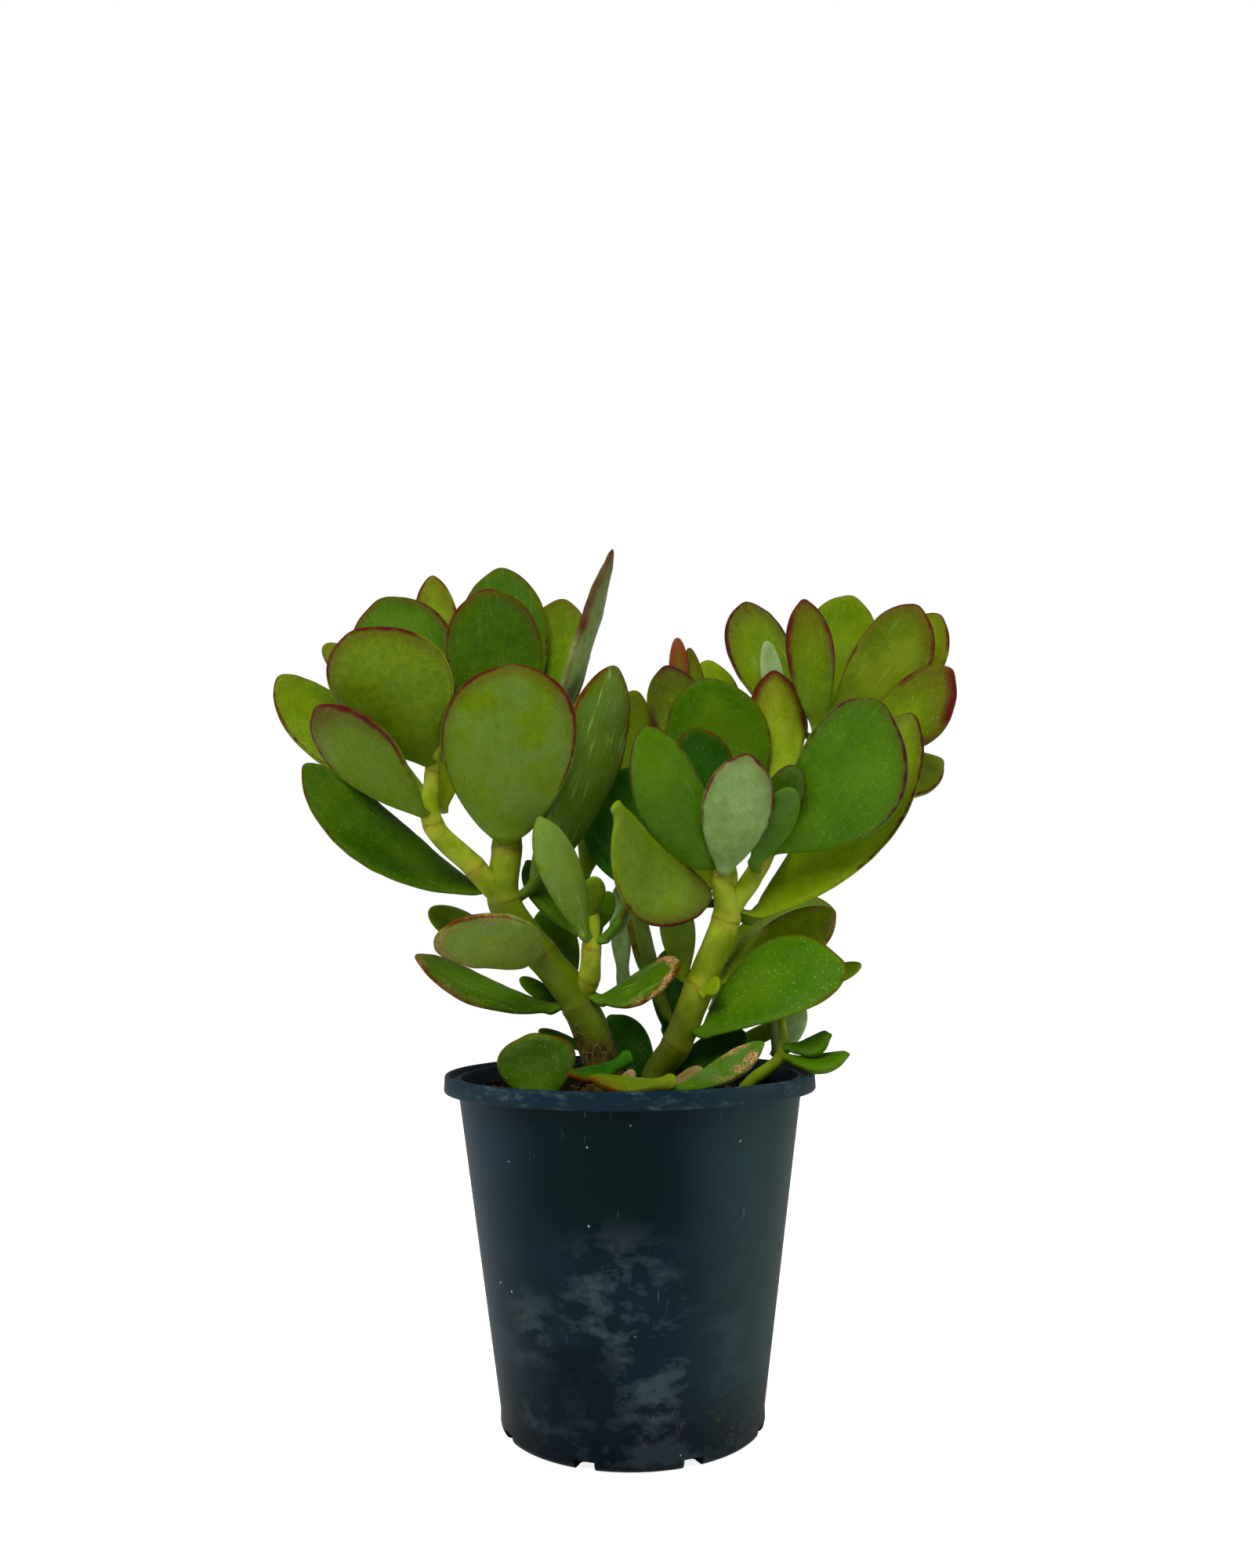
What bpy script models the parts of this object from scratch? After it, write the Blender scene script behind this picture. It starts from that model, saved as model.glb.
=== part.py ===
"""Jade plant in a plastic nursery pot: pot, potting mix, stems and leaves.

Sizes below are millimetres, turned into metres by MM. +Z is up, the plant's
front is -Y, and the origin is the centre of the pot's flat base.
"""

import math

import bmesh
import bpy
from mathutils import Matrix, Vector

MM = 0.001
GAP = 0.3  # clearance between touching pieces

# Pot: a 140 mm nursery pot with a hooked rim.
POT_HEIGHT = 126.0
RIM_RADIUS = 70.0
RIM_BAND = 6.3
WALL_TOP_RADIUS = 64.6
WALL_FOOT_RADIUS = 48.4
BASE_RADIUS = 45.5
FOOT_HEIGHT = 7.0
WALL = 1.4
BASE_THICKNESS = 1.8
POT_SIDES = 48
DRAIN_SLOTS = 8
SLOT_WIDTH = 7.5
SLOT_HEIGHT = 3.4
FIRST_SLOT_TURN = 25.0  # degrees, from the front towards the right

# Potting mix: fills the pot to a little under the rim.
SOIL_LEVEL = 118.0
SOIL_DOME = 0.6
ROOT_DEPTH = 26.0  # how far the stems go down into the mix

# Directions a leaf's upper face can look towards.
UP = Vector((0, 0, 1))
FRONT = Vector((0, -1, 0))
BACK = -FRONT
RIGHT = Vector((1, 0, 0))
LEFT = -RIGHT

# Stem routes, one point for each leaf node: x, y, z and the stem's radius.
LEFT_TRUNK = [
    (-9, 0, SOIL_LEVEL - ROOT_DEPTH, 7.0),
    (-9, 0, 122, 7.6),
    (-19, -4, 151, 7.0),
    (-33, -7, 170, 6.4),
    (-47, -8, 190, 6.4),
    (-46, -10, 211, 5.8),
    (-45, -9, 234, 4.4),
    (-46, -10, 256, 2.6),
]
LEFT_OUTER_BRANCH = [
    (-46, -8, 189, 4.4),
    (-58, -13, 203, 4.4),
    (-73, -19, 219, 4.0),
    (-74, -15, 239, 3.0),
    (-73, -10, 254, 2.0),
]
LEFT_SIDE_SHOOT = [
    (-18, -4, 152, 3.8),
    (-15, -9, 161, 4.0),
    (-14, -12, 172, 3.8),
    (-14, -6, 187, 2.8),
    (-18, 9, 199, 1.8),
]
RIGHT_TRUNK = [
    (10, 4, SOIL_LEVEL - ROOT_DEPTH, 5.6),
    (10, 3, 122, 5.6),
    (18, -3, 136, 5.8),
    (27, -6, 158, 5.9),
    (37, -10, 183, 5.5),
    (35, -14, 199, 3.8),
    (34, -13, 214, 2.8),
]
RIGHT_BACK_BRANCH = [
    (37, -10, 183, 3.2),
    (40, 6, 200, 3.2),
    (37, 14, 222, 2.8),
    (37, 17, 238, 2.0),
]
RIGHT_OUTER_BRANCH = [
    (37, -10, 183, 3.8),
    (50, -12, 203, 3.8),
    (62, -4, 226, 3.6),
    (75, 5, 250, 3.0),
    (79, 7, 260, 2.0),
]
SEEDLING_STEM = [
    (40, -22, SOIL_LEVEL - ROOT_DEPTH + 8, 2.0),
    (41, -21, 120, 2.2),
    (56, -14, 132, 2.2),
    (57, -12, 146, 1.7),
]

# Leaf blade: fleshy, widest past the middle.
LEAF_SIDES = 10
LEAF_RINGS = 10
LEAF_THICKNESS = 5.0
TIP_POINT = 1.0  # the short hard point at the end of a leaf


def clear_scene():
    for item in list(bpy.data.objects):
        bpy.data.objects.remove(item, do_unlink=True)


def new_collection(name):
    group = bpy.data.collections.new(name)
    bpy.context.scene.collection.children.link(group)
    return group


def plain_material(name, colour, roughness):
    made = bpy.data.materials.new(name)
    made.use_nodes = True
    shader = made.node_tree.nodes["Principled BSDF"]
    shader.inputs["Base Color"].default_value = (*colour, 1.0)
    shader.inputs["Roughness"].default_value = roughness
    return made


clear_scene()
PLANT = new_collection("potted_jade_plant")
CUTTERS = new_collection("cutters")


def place(data, name, group=PLANT):
    item = bpy.data.objects.new(name, data)
    group.objects.link(item)
    return item


def as_cutter(item):
    item.hide_render = True
    item.display_type = "WIRE"
    return item


def mesh_from(bm, name):
    data = bpy.data.meshes.new(name)
    bm.to_mesh(data)
    bm.free()
    data.shade_smooth()
    return data


def cut(item, cutter, name):
    step = item.modifiers.new(name, "BOOLEAN")
    step.operation = "DIFFERENCE"
    step.solver = "EXACT"
    step.object = cutter


# --- Turned pieces ---------------------------------------------------------


def turned(name, profile, material):
    """Solid of revolution: the profile runs from the axis up the inside, over, and down the outside."""
    bm = bmesh.new()
    points = [bm.verts.new((radius * MM, 0, height * MM)) for radius, height in profile]
    for first, second in zip(points, points[1:]):
        bm.edges.new((first, second))
    item = place(mesh_from(bm, name), name)
    spin = item.modifiers.new("turn", "SCREW")
    spin.steps = spin.render_steps = POT_SIDES
    spin.use_merge_vertices = True
    spin.merge_threshold = 0.00005
    spin.use_smooth_shade = True
    item.data.materials.append(material)
    return item


def wall_radius(height):
    """Outer radius of the tapered wall at this height."""
    span = POT_HEIGHT - RIM_BAND - FOOT_HEIGHT
    return WALL_FOOT_RADIUS + (WALL_TOP_RADIUS - WALL_FOOT_RADIUS) * (height - FOOT_HEIGHT) / span


def arc(centre_radius, centre_height, radius, start, end, steps):
    """Points along an arc, as (radius, height); angles in degrees from the +radius direction."""
    turns = [math.radians(start + (end - start) * step / steps) for step in range(steps + 1)]
    return [
        (centre_radius + radius * math.cos(turn), centre_height + radius * math.sin(turn))
        for turn in turns
    ]


def drain_slot_cutter():
    bm = bmesh.new()
    for index in range(DRAIN_SLOTS):
        angle = math.radians(-90 + FIRST_SLOT_TURN + 360 / DRAIN_SLOTS * index)
        box = bmesh.ops.create_cube(bm, size=MM)["verts"]
        bmesh.ops.scale(bm, verts=box, vec=(12.0, SLOT_WIDTH, 2 * SLOT_HEIGHT))
        bmesh.ops.translate(bm, verts=box, vec=((BASE_RADIUS + 1) * MM, 0, 0))
        turn = Matrix.Rotation(angle, 3, "Z")
        bmesh.ops.rotate(bm, verts=box, cent=(0, 0, 0), matrix=turn)
    return as_cutter(place(mesh_from(bm, "drain_slots"), "drain_slots", CUTTERS))


def build_pot():
    under_rim = POT_HEIGHT - RIM_BAND
    inner_foot = WALL_FOOT_RADIUS - WALL
    profile = [(0, BASE_THICKNESS), (inner_foot - 4, BASE_THICKNESS)]
    profile += arc(inner_foot - 4, BASE_THICKNESS + 4, 4, -60, 0, 3)
    profile += [
        (wall_radius(under_rim) - WALL, under_rim),
        (RIM_RADIUS - 6.6, POT_HEIGHT - 1.8),
        (RIM_RADIUS - 6.3, POT_HEIGHT - 1.2),
        (RIM_RADIUS - 5.2, POT_HEIGHT - 1.2),
        (RIM_RADIUS - 4.8, POT_HEIGHT - 2.3),
        (RIM_RADIUS - 2.4, POT_HEIGHT - 2.3),
        (RIM_RADIUS - 2.0, POT_HEIGHT - 0.3),
        (RIM_RADIUS - 1.6, POT_HEIGHT),
        (RIM_RADIUS - 0.6, POT_HEIGHT),
        (RIM_RADIUS - 0.2, POT_HEIGHT - 0.4),
        (RIM_RADIUS, under_rim + 0.5),
        (RIM_RADIUS - 0.3, under_rim),
        (RIM_RADIUS - 1.3, under_rim),
        (RIM_RADIUS - 1.7, POT_HEIGHT - 3.8),
        (RIM_RADIUS - 4.2, POT_HEIGHT - 3.8),
        (wall_radius(under_rim), under_rim - 0.6),
    ]
    corner = WALL_FOOT_RADIUS - BASE_RADIUS
    profile += [(BASE_RADIUS + corner, FOOT_HEIGHT)]
    profile += arc(BASE_RADIUS, corner, corner, -15, -90, 4)
    profile += [(0, 0)]
    pot = turned("pot", profile, plain_material("pot_plastic", (0.018, 0.035, 0.045), 0.45))
    cut(pot, drain_slot_cutter(), "drain_slots")


def root_pocket(name, route):
    """Straight-sided hole in the mix for the buried end of a stem."""
    x, y, foot, radius = route[0]
    top = SOIL_LEVEL + 6
    depth = top - (foot - GAP)
    bm = bmesh.new()
    bmesh.ops.create_cone(
        bm,
        cap_ends=True,
        segments=24,
        radius1=(radius + GAP) * MM,
        radius2=(route[1][3] + 2 * GAP + 0.3) * MM,
        depth=depth * MM,
    )
    lean = Vector((route[1][0] - x, route[1][1] - y, 0)) * (depth / (route[1][2] - foot))
    for vert in bm.verts:
        height = vert.co.z / MM / depth + 0.5
        vert.co += (Vector((x, y, foot - GAP)) + lean * height) * MM + Vector((0, 0, depth / 2 * MM))
    return as_cutter(place(mesh_from(bm, name), name, CUTTERS))


def build_soil():
    fit = WALL + GAP
    profile = [
        (0, BASE_THICKNESS + GAP),
        (BASE_RADIUS - fit - 5, BASE_THICKNESS + GAP),
        (wall_radius(9) - fit - 0.4, 9),
        (wall_radius(SOIL_LEVEL - 1) - fit, SOIL_LEVEL - 1),
        (wall_radius(SOIL_LEVEL) - fit - 3, SOIL_LEVEL - 0.2),
        (45, SOIL_LEVEL),
        (0, SOIL_LEVEL + SOIL_DOME),
    ]
    soil = turned("potting_mix", profile[::-1], plain_material("bark_mix", (0.02, 0.013, 0.009), 0.95))
    for route, name in (
        (LEFT_TRUNK, "left_root_pocket"),
        (RIGHT_TRUNK, "right_root_pocket"),
        (SEEDLING_STEM, "seedling_root_pocket"),
    ):
        cut(soil, root_pocket(name, route), name)


# --- Stems -----------------------------------------------------------------


def ringed(route):
    """The route with a slight waist between each two leaf nodes."""
    points = [route[0]]
    for start, end in zip(route, route[1:]):
        middle = [(a + b) / 2 for a, b in zip(start, end)]
        middle[3] *= 0.94
        points += [tuple(middle), end]
    return points


def tube(name, route, grow=0.0):
    """A round stem as a mesh, made from a bevelled curve along the route."""
    data = bpy.data.curves.new(name, "CURVE")
    data.dimensions = "3D"
    data.bevel_depth = MM
    data.bevel_resolution = 3
    data.use_fill_caps = True
    data.resolution_u = 2
    points = ringed(route)
    spline = data.splines.new("BEZIER")
    spline.bezier_points.add(len(points) - 1)
    for knot, (x, y, z, radius) in zip(spline.bezier_points, points):
        knot.co = (x * MM, y * MM, z * MM)
        knot.radius = radius + grow
        knot.handle_left_type = knot.handle_right_type = "AUTO"
    guide = place(data, name + "_guide")
    bpy.context.view_layer.update()
    graph = bpy.context.evaluated_depsgraph_get()
    swept = bpy.data.meshes.new_from_object(guide.evaluated_get(graph))
    bpy.data.objects.remove(guide, do_unlink=True)
    bm = bmesh.new()
    bm.from_mesh(swept)
    bmesh.ops.remove_doubles(bm, verts=bm.verts, dist=0.00001)
    return mesh_from(bm, name)


def stem(name, route, material, *neighbours):
    """A stem's own object; a branch is hollowed to sit against the stems it grows beside."""
    item = place(tube(name, route), name)
    item.data.materials.append(material)
    for index, neighbour in enumerate(neighbours):
        seat_name = f"{name}_seat_{index}"
        cut(item, as_cutter(place(tube(seat_name, neighbour, GAP), seat_name, CUTTERS)), seat_name)


def build_stems():
    woody = plain_material("woody_stem", (0.10, 0.09, 0.03), 0.6)
    green = plain_material("green_stem", (0.24, 0.30, 0.06), 0.45)
    stem("left_trunk", LEFT_TRUNK, woody)
    stem("left_outer_branch", LEFT_OUTER_BRANCH, green, LEFT_TRUNK)
    stem("left_side_shoot", LEFT_SIDE_SHOOT, green, LEFT_TRUNK)
    stem("right_trunk", RIGHT_TRUNK, green)
    stem("right_outer_branch", RIGHT_OUTER_BRANCH, green, RIGHT_TRUNK)
    stem("right_back_branch", RIGHT_BACK_BRANCH, green, RIGHT_TRUNK, RIGHT_OUTER_BRANCH)
    stem("seedling_stem", SEEDLING_STEM, green)


# --- Leaves ----------------------------------------------------------------


def leaf(
    name, base, tip, width, face, thick=LEAF_THICKNESS, sag=3.0, cup=0.12, bow=0.0,
    widest=0.62, fullness=0.5, reach=5.0, out=0.0,
):
    """One leaf from a point on its stem's axis to its tip.

    face is where the upper side looks, sag how far the middle hangs below the
    line from base to tip, cup how much the margins rise and bow the sideways
    curve. The stalk starts reach along the leaf from the stem's axis, and out
    away from the upper side.
    """
    ahead = (Vector(tip) - Vector(base)).normalized()
    outward = (face - ahead * face.dot(ahead)).normalized()
    start = Vector(base) + ahead * reach - outward * out
    along = (Vector(tip) - start).normalized()
    length = (Vector(tip) - start).length
    side = face.cross(along).normalized()
    top = along.cross(side)
    half_width = width / 2
    bulge = math.log(0.5) / math.log(widest)

    bm = bmesh.new()
    bmesh.ops.create_uvsphere(bm, u_segments=LEAF_SIDES, v_segments=LEAF_RINGS, radius=1.0)
    for vert in bm.verts:
        x, y, z = vert.co
        ring = math.hypot(x, y)
        run = min(max((z + 1) / 2, 0.0), 1.0)
        if ring < 1e-4:
            across = rise = 0.0
            distance = length * run + (TIP_POINT if run > 0.5 else 0.0)
        else:
            spread = math.sin(math.pi * run**bulge) ** fullness
            across = half_width * max(spread, 0.16 * ring) * x / ring
            rise = thick / 2 * ring**0.6 * y / ring
            distance = length * run
        belly = 4 * run * (1 - run)
        lift = cup * across * across / half_width - sag * belly
        vert.co = Vector((distance, across + bow * belly, rise + lift)) * MM
    item = place(mesh_from(bm, name), name)
    frame = Matrix((along, side, top)).transposed().to_4x4()
    item.matrix_world = Matrix.Translation(start * MM) @ frame
    item.data.materials.append(LEAF_MATERIAL)
    return item


LEAF_MATERIAL = plain_material("leaf_skin", (0.11, 0.24, 0.03), 0.35)


def left_crown_leaves():
    leaf(
        "left_crown_front_leaf", (-46, -10, 213), (-39, -36, 275), 51, BACK + UP * 0.2,
        out=7.5, reach=1, bow=-2, fullness=0.42,
    )
    leaf(
        "left_crown_low_right_leaf", (-39, -8, 190), (-4, -10, 280), 30, BACK + LEFT * 0.8,
        reach=4, sag=7,
    )
    leaf("left_crown_back_leaf", (-46, -9, 252), (-53, 26, 331), 37, FRONT, out=8, reach=3)
    leaf(
        "left_crown_inner_leaf", (-46, -9, 246), (-54, -14, 310), 38, FRONT,
        cup=0.2, fullness=0.45, out=4, reach=4,
    )
    leaf("left_crown_right_leaf", (-45, -8, 238), (-27, 28, 318), 36, FRONT + LEFT * 0.3, out=6, reach=2)
    leaf("left_crown_blade_leaf", (-45, -9, 232), (-5, 0, 330), 27, LEFT + BACK * 0.1, out=6, reach=3)
    leaf("left_crown_small_leaf", (-72, -9, 248), (-83, 36, 331), 21, FRONT, out=5)


def left_outer_leaves():
    leaf(
        "left_outer_front_leaf", (-74, -14, 238), (-98, -46, 286), 45, BACK + UP * 0.6,
        bow=4, fullness=0.45, reach=6,
    )
    leaf("left_outer_back_leaf", (-72, -9, 250), (-99, 10, 314), 42, FRONT + UP * 0.2)
    leaf(
        "left_outer_far_leaf", (-73, -16, 228), (-140, 12, 283), 32,
        FRONT + RIGHT * 0.5 + UP * 0.5, sag=9,
    )
    leaf(
        "left_outer_tip_leaf", (-72, -19, 218), (-109, -50, 258), 34, BACK + UP + RIGHT * 0.5,
        reach=7,
    )
    leaf(
        "left_low_spread_leaf", (-47, -8, 188), (-122, -16, 242), 34, FRONT * 0.7 + UP,
        sag=11, reach=10,
    )


def left_lower_leaves():
    leaf(
        "left_flat_leaf", (-26, -9, 168), (-68, -40, 177), 27, BACK + UP * 0.7,
        bow=4, widest=0.52, fullness=0.4, reach=9,
    )
    leaf("left_lowest_leaf", (-19, -4, 147), (-79, -14, 170), 20, UP + FRONT * 0.6, sag=6, reach=8)
    leaf("left_node_right_leaf", (-18, -5, 150), (18, -30, 166), 20, FRONT + UP, reach=8)
    leaf("left_node_back_leaf", (-19, -3, 153), (-34, 22, 188), 18, FRONT + UP, reach=8)


def side_shoot_leaves():
    leaf("shoot_front_leaf", (-14, -12, 171), (-32, -34, 219), 16, BACK + LEFT * 0.3, reach=6)
    leaf("shoot_left_leaf", (-14, -11, 173), (-39, 4, 206), 18, FRONT + RIGHT, reach=6)
    leaf("shoot_right_leaf", (-14, -12, 169), (2, -15, 195), 14, LEFT + UP, reach=7)
    leaf("shoot_tall_back_leaf", (-18, 11, 199), (4, 42, 281), 28, FRONT, reach=3, sag=6)


def right_front_leaves():
    leaf(
        "right_twisted_leaf", (37, -10, 181), (-3, -38, 222), 30, RIGHT * 0.6 + FRONT * 0.75,
        bow=10, widest=0.42, fullness=0.55, sag=4, reach=10.5,
    )
    leaf(
        "right_front_left_leaf", (31, -14, 200), (7, -34, 252), 26, BACK + UP * 0.3,
        bow=-2, widest=0.52, fullness=0.45, out=3, reach=3,
    )
    leaf("right_front_pale_leaf", (35, -13, 197), (43, -44, 240), 26, BACK + UP * 0.3, out=3)
    leaf(
        "right_front_broad_leaf", (34, -9, 211), (33, 4, 278), 42, FRONT,
        bow=-3, fullness=0.45, out=5, reach=3,
    )
    leaf("right_front_inner_leaf", (34, -12, 210), (26, -14, 255), 25, FRONT, reach=8)
    leaf("right_low_dark_leaf", (36, -3, 181), (-9, 13, 240), 48, FRONT, fullness=0.48, reach=9)
    leaf("right_fork_leaf", (35, -11, 188), (17, -2, 223), 22, FRONT + RIGHT * 0.4, reach=8)


def right_back_leaves():
    leaf("right_back_purple_leaf", (36, 14, 227), (17, 30, 289), 28, FRONT + RIGHT * 0.3, reach=10)
    leaf("right_back_green_leaf", (37, 17, 232), (36, 50, 296), 28, FRONT, out=4)
    leaf("right_back_yellow_leaf", (61, -4, 229), (60, 9, 282), 23, FRONT, out=4, reach=3)


def right_crown_leaves():
    leaf(
        "right_crown_left_leaf", (75, 8, 252), (53, 42, 320), 32, FRONT + RIGHT * 0.4,
        bow=3, reach=6, out=3,
    )
    leaf("right_crown_tall_leaf", (76, 5, 252), (71, -3, 308), 19, BACK, out=4, reach=3)
    leaf("right_crown_back_leaf", (77, 8, 258), (98, 38, 321), 32, FRONT, out=2)
    leaf(
        "right_crown_right_leaf", (76, 5, 253), (119, 10, 309), 32, FRONT + LEFT * 0.4,
        bow=-4, reach=8, out=3,
    )
    leaf("right_crown_far_leaf", (79, 7, 249), (132, 28, 310), 28, FRONT + LEFT * 0.4, bow=-3, reach=9)
    leaf("right_crown_low_leaf", (75, 3, 243), (126, -10, 278), 36, FRONT + UP, bow=-6, reach=8)
    leaf("right_crown_outer_leaf", (74, 4, 240), (128, 18, 247), 28, FRONT + UP, bow=-6, reach=6)
    leaf("right_big_front_leaf", (50, -12, 202), (91, -46, 258), 42, FRONT + UP * 0.3, bow=-7, reach=8)
    leaf(
        "right_long_leaf", (40, -9, 178), (107, -26, 257), 36, FRONT + UP,
        sag=10, bow=-3, reach=8, out=3,
    )
    leaf("right_under_leaf", (38, -6, 178), (105, 34, 218), 29, BACK * 0.8 + UP, sag=0, reach=8)


def right_lower_leaves():
    leaf("right_spotted_leaf", (18, -4, 135), (77, -34, 165), 34, FRONT + UP * 0.7, bow=9, reach=10)
    leaf("right_scarred_leaf", (28, -5, 155), (81, 12, 186), 23, FRONT + UP * 0.7, sag=4, reach=8)
    leaf("right_round_back_leaf", (29, -2, 166), (88, 52, 187), 26, FRONT, reach=8)
    leaf("right_upright_leaf", (18, -3, 137), (1, 14, 198), 16, RIGHT + FRONT * 0.6, reach=8)


def soil_leaves():
    leaf("soil_round_leaf", (-31, -36, 119), (-34, -38, 142), 28, FRONT, fullness=0.4, reach=0)
    leaf("soil_left_leaf", (-1, -38, 134), (-21, -44, 129), 10, UP + FRONT * 0.4, reach=0)
    leaf("soil_front_leaf", (14, -50, 127), (-13, -54, 129), 10, UP + FRONT * 0.4, reach=0)
    leaf("soil_long_leaf", (15, -44, 123), (46, -44, 139), 13, UP + FRONT * 0.6, reach=0)
    leaf("soil_rear_leaf", (9, 24, 120), (-8, 34, 144), 18, FRONT, reach=0)
    leaf("seedling_right_leaf", (56, -13, 134), (73, -22, 140), 10, UP + FRONT, reach=3.5)
    leaf("seedling_low_leaf", (56, -14, 131), (79, -24, 133), 12, UP + FRONT * 0.5, reach=3)


build_pot()
build_soil()
build_stems()
left_crown_leaves()
left_outer_leaves()
left_lower_leaves()
side_shoot_leaves()
right_front_leaves()
right_back_leaves()
right_crown_leaves()
right_lower_leaves()
soil_leaves()
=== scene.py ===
import math
import random

import bmesh
import bpy
import numpy as np
from mathutils import Matrix, Vector


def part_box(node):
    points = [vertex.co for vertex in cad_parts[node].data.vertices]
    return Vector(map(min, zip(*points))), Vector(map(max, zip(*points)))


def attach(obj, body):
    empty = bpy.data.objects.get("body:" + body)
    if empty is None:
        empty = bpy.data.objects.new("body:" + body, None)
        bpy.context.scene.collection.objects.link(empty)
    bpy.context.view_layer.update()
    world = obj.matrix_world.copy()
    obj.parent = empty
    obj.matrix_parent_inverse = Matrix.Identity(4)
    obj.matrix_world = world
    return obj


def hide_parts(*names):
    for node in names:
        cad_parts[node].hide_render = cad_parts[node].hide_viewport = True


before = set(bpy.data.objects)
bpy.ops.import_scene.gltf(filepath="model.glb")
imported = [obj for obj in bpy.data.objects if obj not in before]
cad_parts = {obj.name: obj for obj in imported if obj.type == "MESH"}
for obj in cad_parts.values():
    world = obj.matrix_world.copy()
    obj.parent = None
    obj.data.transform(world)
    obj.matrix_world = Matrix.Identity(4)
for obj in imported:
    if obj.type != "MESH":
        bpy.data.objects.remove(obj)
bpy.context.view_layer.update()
MM = 0.001


# --- Pot ---
# A 140 mm nursery pot, moulded in one piece from black-green polypropylene:
# a thin tapered wall, a hooked rim that lets pots stack, and drain slots
# round the foot. Hard water has dried on it in pale clouds.

POT_STEPS = 192
POT_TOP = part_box("pot")[1]
RIM_RADIUS = POT_TOP.x
POT_HEIGHT = POT_TOP.z
RIM_BAND = 6.3 * MM
UNDER_RIM = POT_HEIGHT - RIM_BAND
WALL = 1.4 * MM
WALL_TOP = RIM_RADIUS - 5.4 * MM
WALL_FOOT = RIM_RADIUS - 21.6 * MM
FOOT_HEIGHT = 7 * MM
BASE_RADIUS = RIM_RADIUS - 24.5 * MM
BASE_THICKNESS = 1.8 * MM
DRAIN_SLOTS = 8
SLOT_SIZE = (12 * MM, 7.5 * MM, 6.8 * MM)
FIRST_SLOT_TURN = -65  # degrees from the right, so that no slot faces the front squarely


def add_node(tree, kind, inputs=None, **settings):
    """A shader node with its settings and inputs; an input is a value or another node's socket."""
    made = tree.nodes.new("ShaderNode" + kind)
    for key, value in settings.items():
        setattr(made, key, value)
    for key, value in (inputs or {}).items():
        if isinstance(value, bpy.types.NodeSocket):
            tree.links.new(value, made.inputs[key])
        else:
            made.inputs[key].default_value = value
    return made


def maths(tree, operation, *values):
    return add_node(tree, "Math", dict(enumerate(values)), operation=operation).outputs[0]


def times(tree, first, second):
    return maths(tree, "MULTIPLY", first, second)


def scaled_plus(tree, value, scale, other):
    """The value times scale, plus another value."""
    return maths(tree, "MULTIPLY_ADD", value, scale, other)


def fade(tree, value, start, end, low=0.0, high=1.0):
    """Runs smoothly from low to high while value goes from start to end."""
    inputs = {"Value": value, "From Min": start, "From Max": end, "To Min": low, "To Max": high}
    return add_node(tree, "MapRange", inputs, interpolation_type="SMOOTHSTEP").outputs[0]


def mix(tree, factor, first, second):
    inputs = {0: factor, 6: first, 7: second}
    return add_node(tree, "Mix", inputs, data_type="RGBA").outputs[2]


def on_object(tree):
    """The shaded point in the piece's own coordinates, in metres."""
    return add_node(tree, "TexCoord").outputs["Object"]


def point_value(tree, name):
    """The value that the mesh holds under this name at each of its points."""
    return add_node(tree, "Attribute", attribute_name=name).outputs["Fac"]


def cloud(tree, place, scale, detail=3.0, roughness=0.5):
    """Noise from 0 to 1; scale is in features per metre."""
    inputs = {"Vector": place, "Scale": scale, "Detail": detail, "Roughness": roughness}
    return add_node(tree, "TexNoise", inputs).outputs["Fac"]


def stretched(tree, place, across, along, up):
    """The same place with each axis scaled, for streaks and grain."""
    scale = {"Vector": place, "Scale": (across, along, up)}
    return add_node(tree, "Mapping", scale).outputs[0]


def rgb(red, green, blue):
    """A shader colour from the 0 to 255 values that a paint chart gives."""
    def linear(value):
        value /= 255
        return value / 12.92 if value <= 0.04045 else ((value + 0.055) / 1.055) ** 2.4
    return (linear(red), linear(green), linear(blue), 1.0)


def new_material(name, **constants):
    made = bpy.data.materials.new(name)
    made.use_nodes = True
    shader = made.node_tree.nodes["Principled BSDF"]
    for key, value in constants.items():
        shader.inputs[key.replace("_", " ").title().replace("Ior", "IOR")].default_value = value
    return made, made.node_tree, shader


def surface(tree, shader, colour, roughness, height, depth):
    """Feeds the shader; depth is how far the height of 1 stands out, in metres."""
    tree.links.new(colour, shader.inputs["Base Color"])
    tree.links.new(roughness, shader.inputs["Roughness"])
    bump = add_node(tree, "Bump", {"Height": height, "Distance": depth, "Strength": 1.0})
    tree.links.new(bump.outputs[0], shader.inputs["Normal"])


def mesh_from(bm, name):
    mesh = bpy.data.meshes.new(name)
    bm.to_mesh(mesh)
    bm.free()
    return mesh


def new_object(name, data):
    made = bpy.data.objects.new(name, data)
    bpy.context.scene.collection.objects.link(made)
    return made


def piece_from(bm, name, material, slot, *nodes):
    """Turns a finished bmesh into a piece of the plant that stands for the named nodes."""
    mesh = mesh_from(bm, name)
    mesh.shade_smooth()
    mesh.materials.append(material)
    piece = new_object(name, mesh)
    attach(piece, "root")
    if nodes:
        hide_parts(*nodes)
    return piece


def lathe(profile, steps):
    """A closed turned body: the profile runs from the axis round to the axis again."""
    bm = bmesh.new()
    points = [bm.verts.new((radius, 0, height)) for radius, height in profile]
    edges = [bm.edges.new(pair) for pair in zip(points, points[1:])]
    bmesh.ops.spin(
        bm, geom=points + edges, cent=(0, 0, 0), axis=(0, 0, 1), angle=math.tau,
        steps=steps, use_merge=True, use_duplicate=False,
    )
    bmesh.ops.remove_doubles(bm, verts=bm.verts, dist=1e-6)
    bmesh.ops.recalc_face_normals(bm, faces=bm.faces)
    return bm


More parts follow.
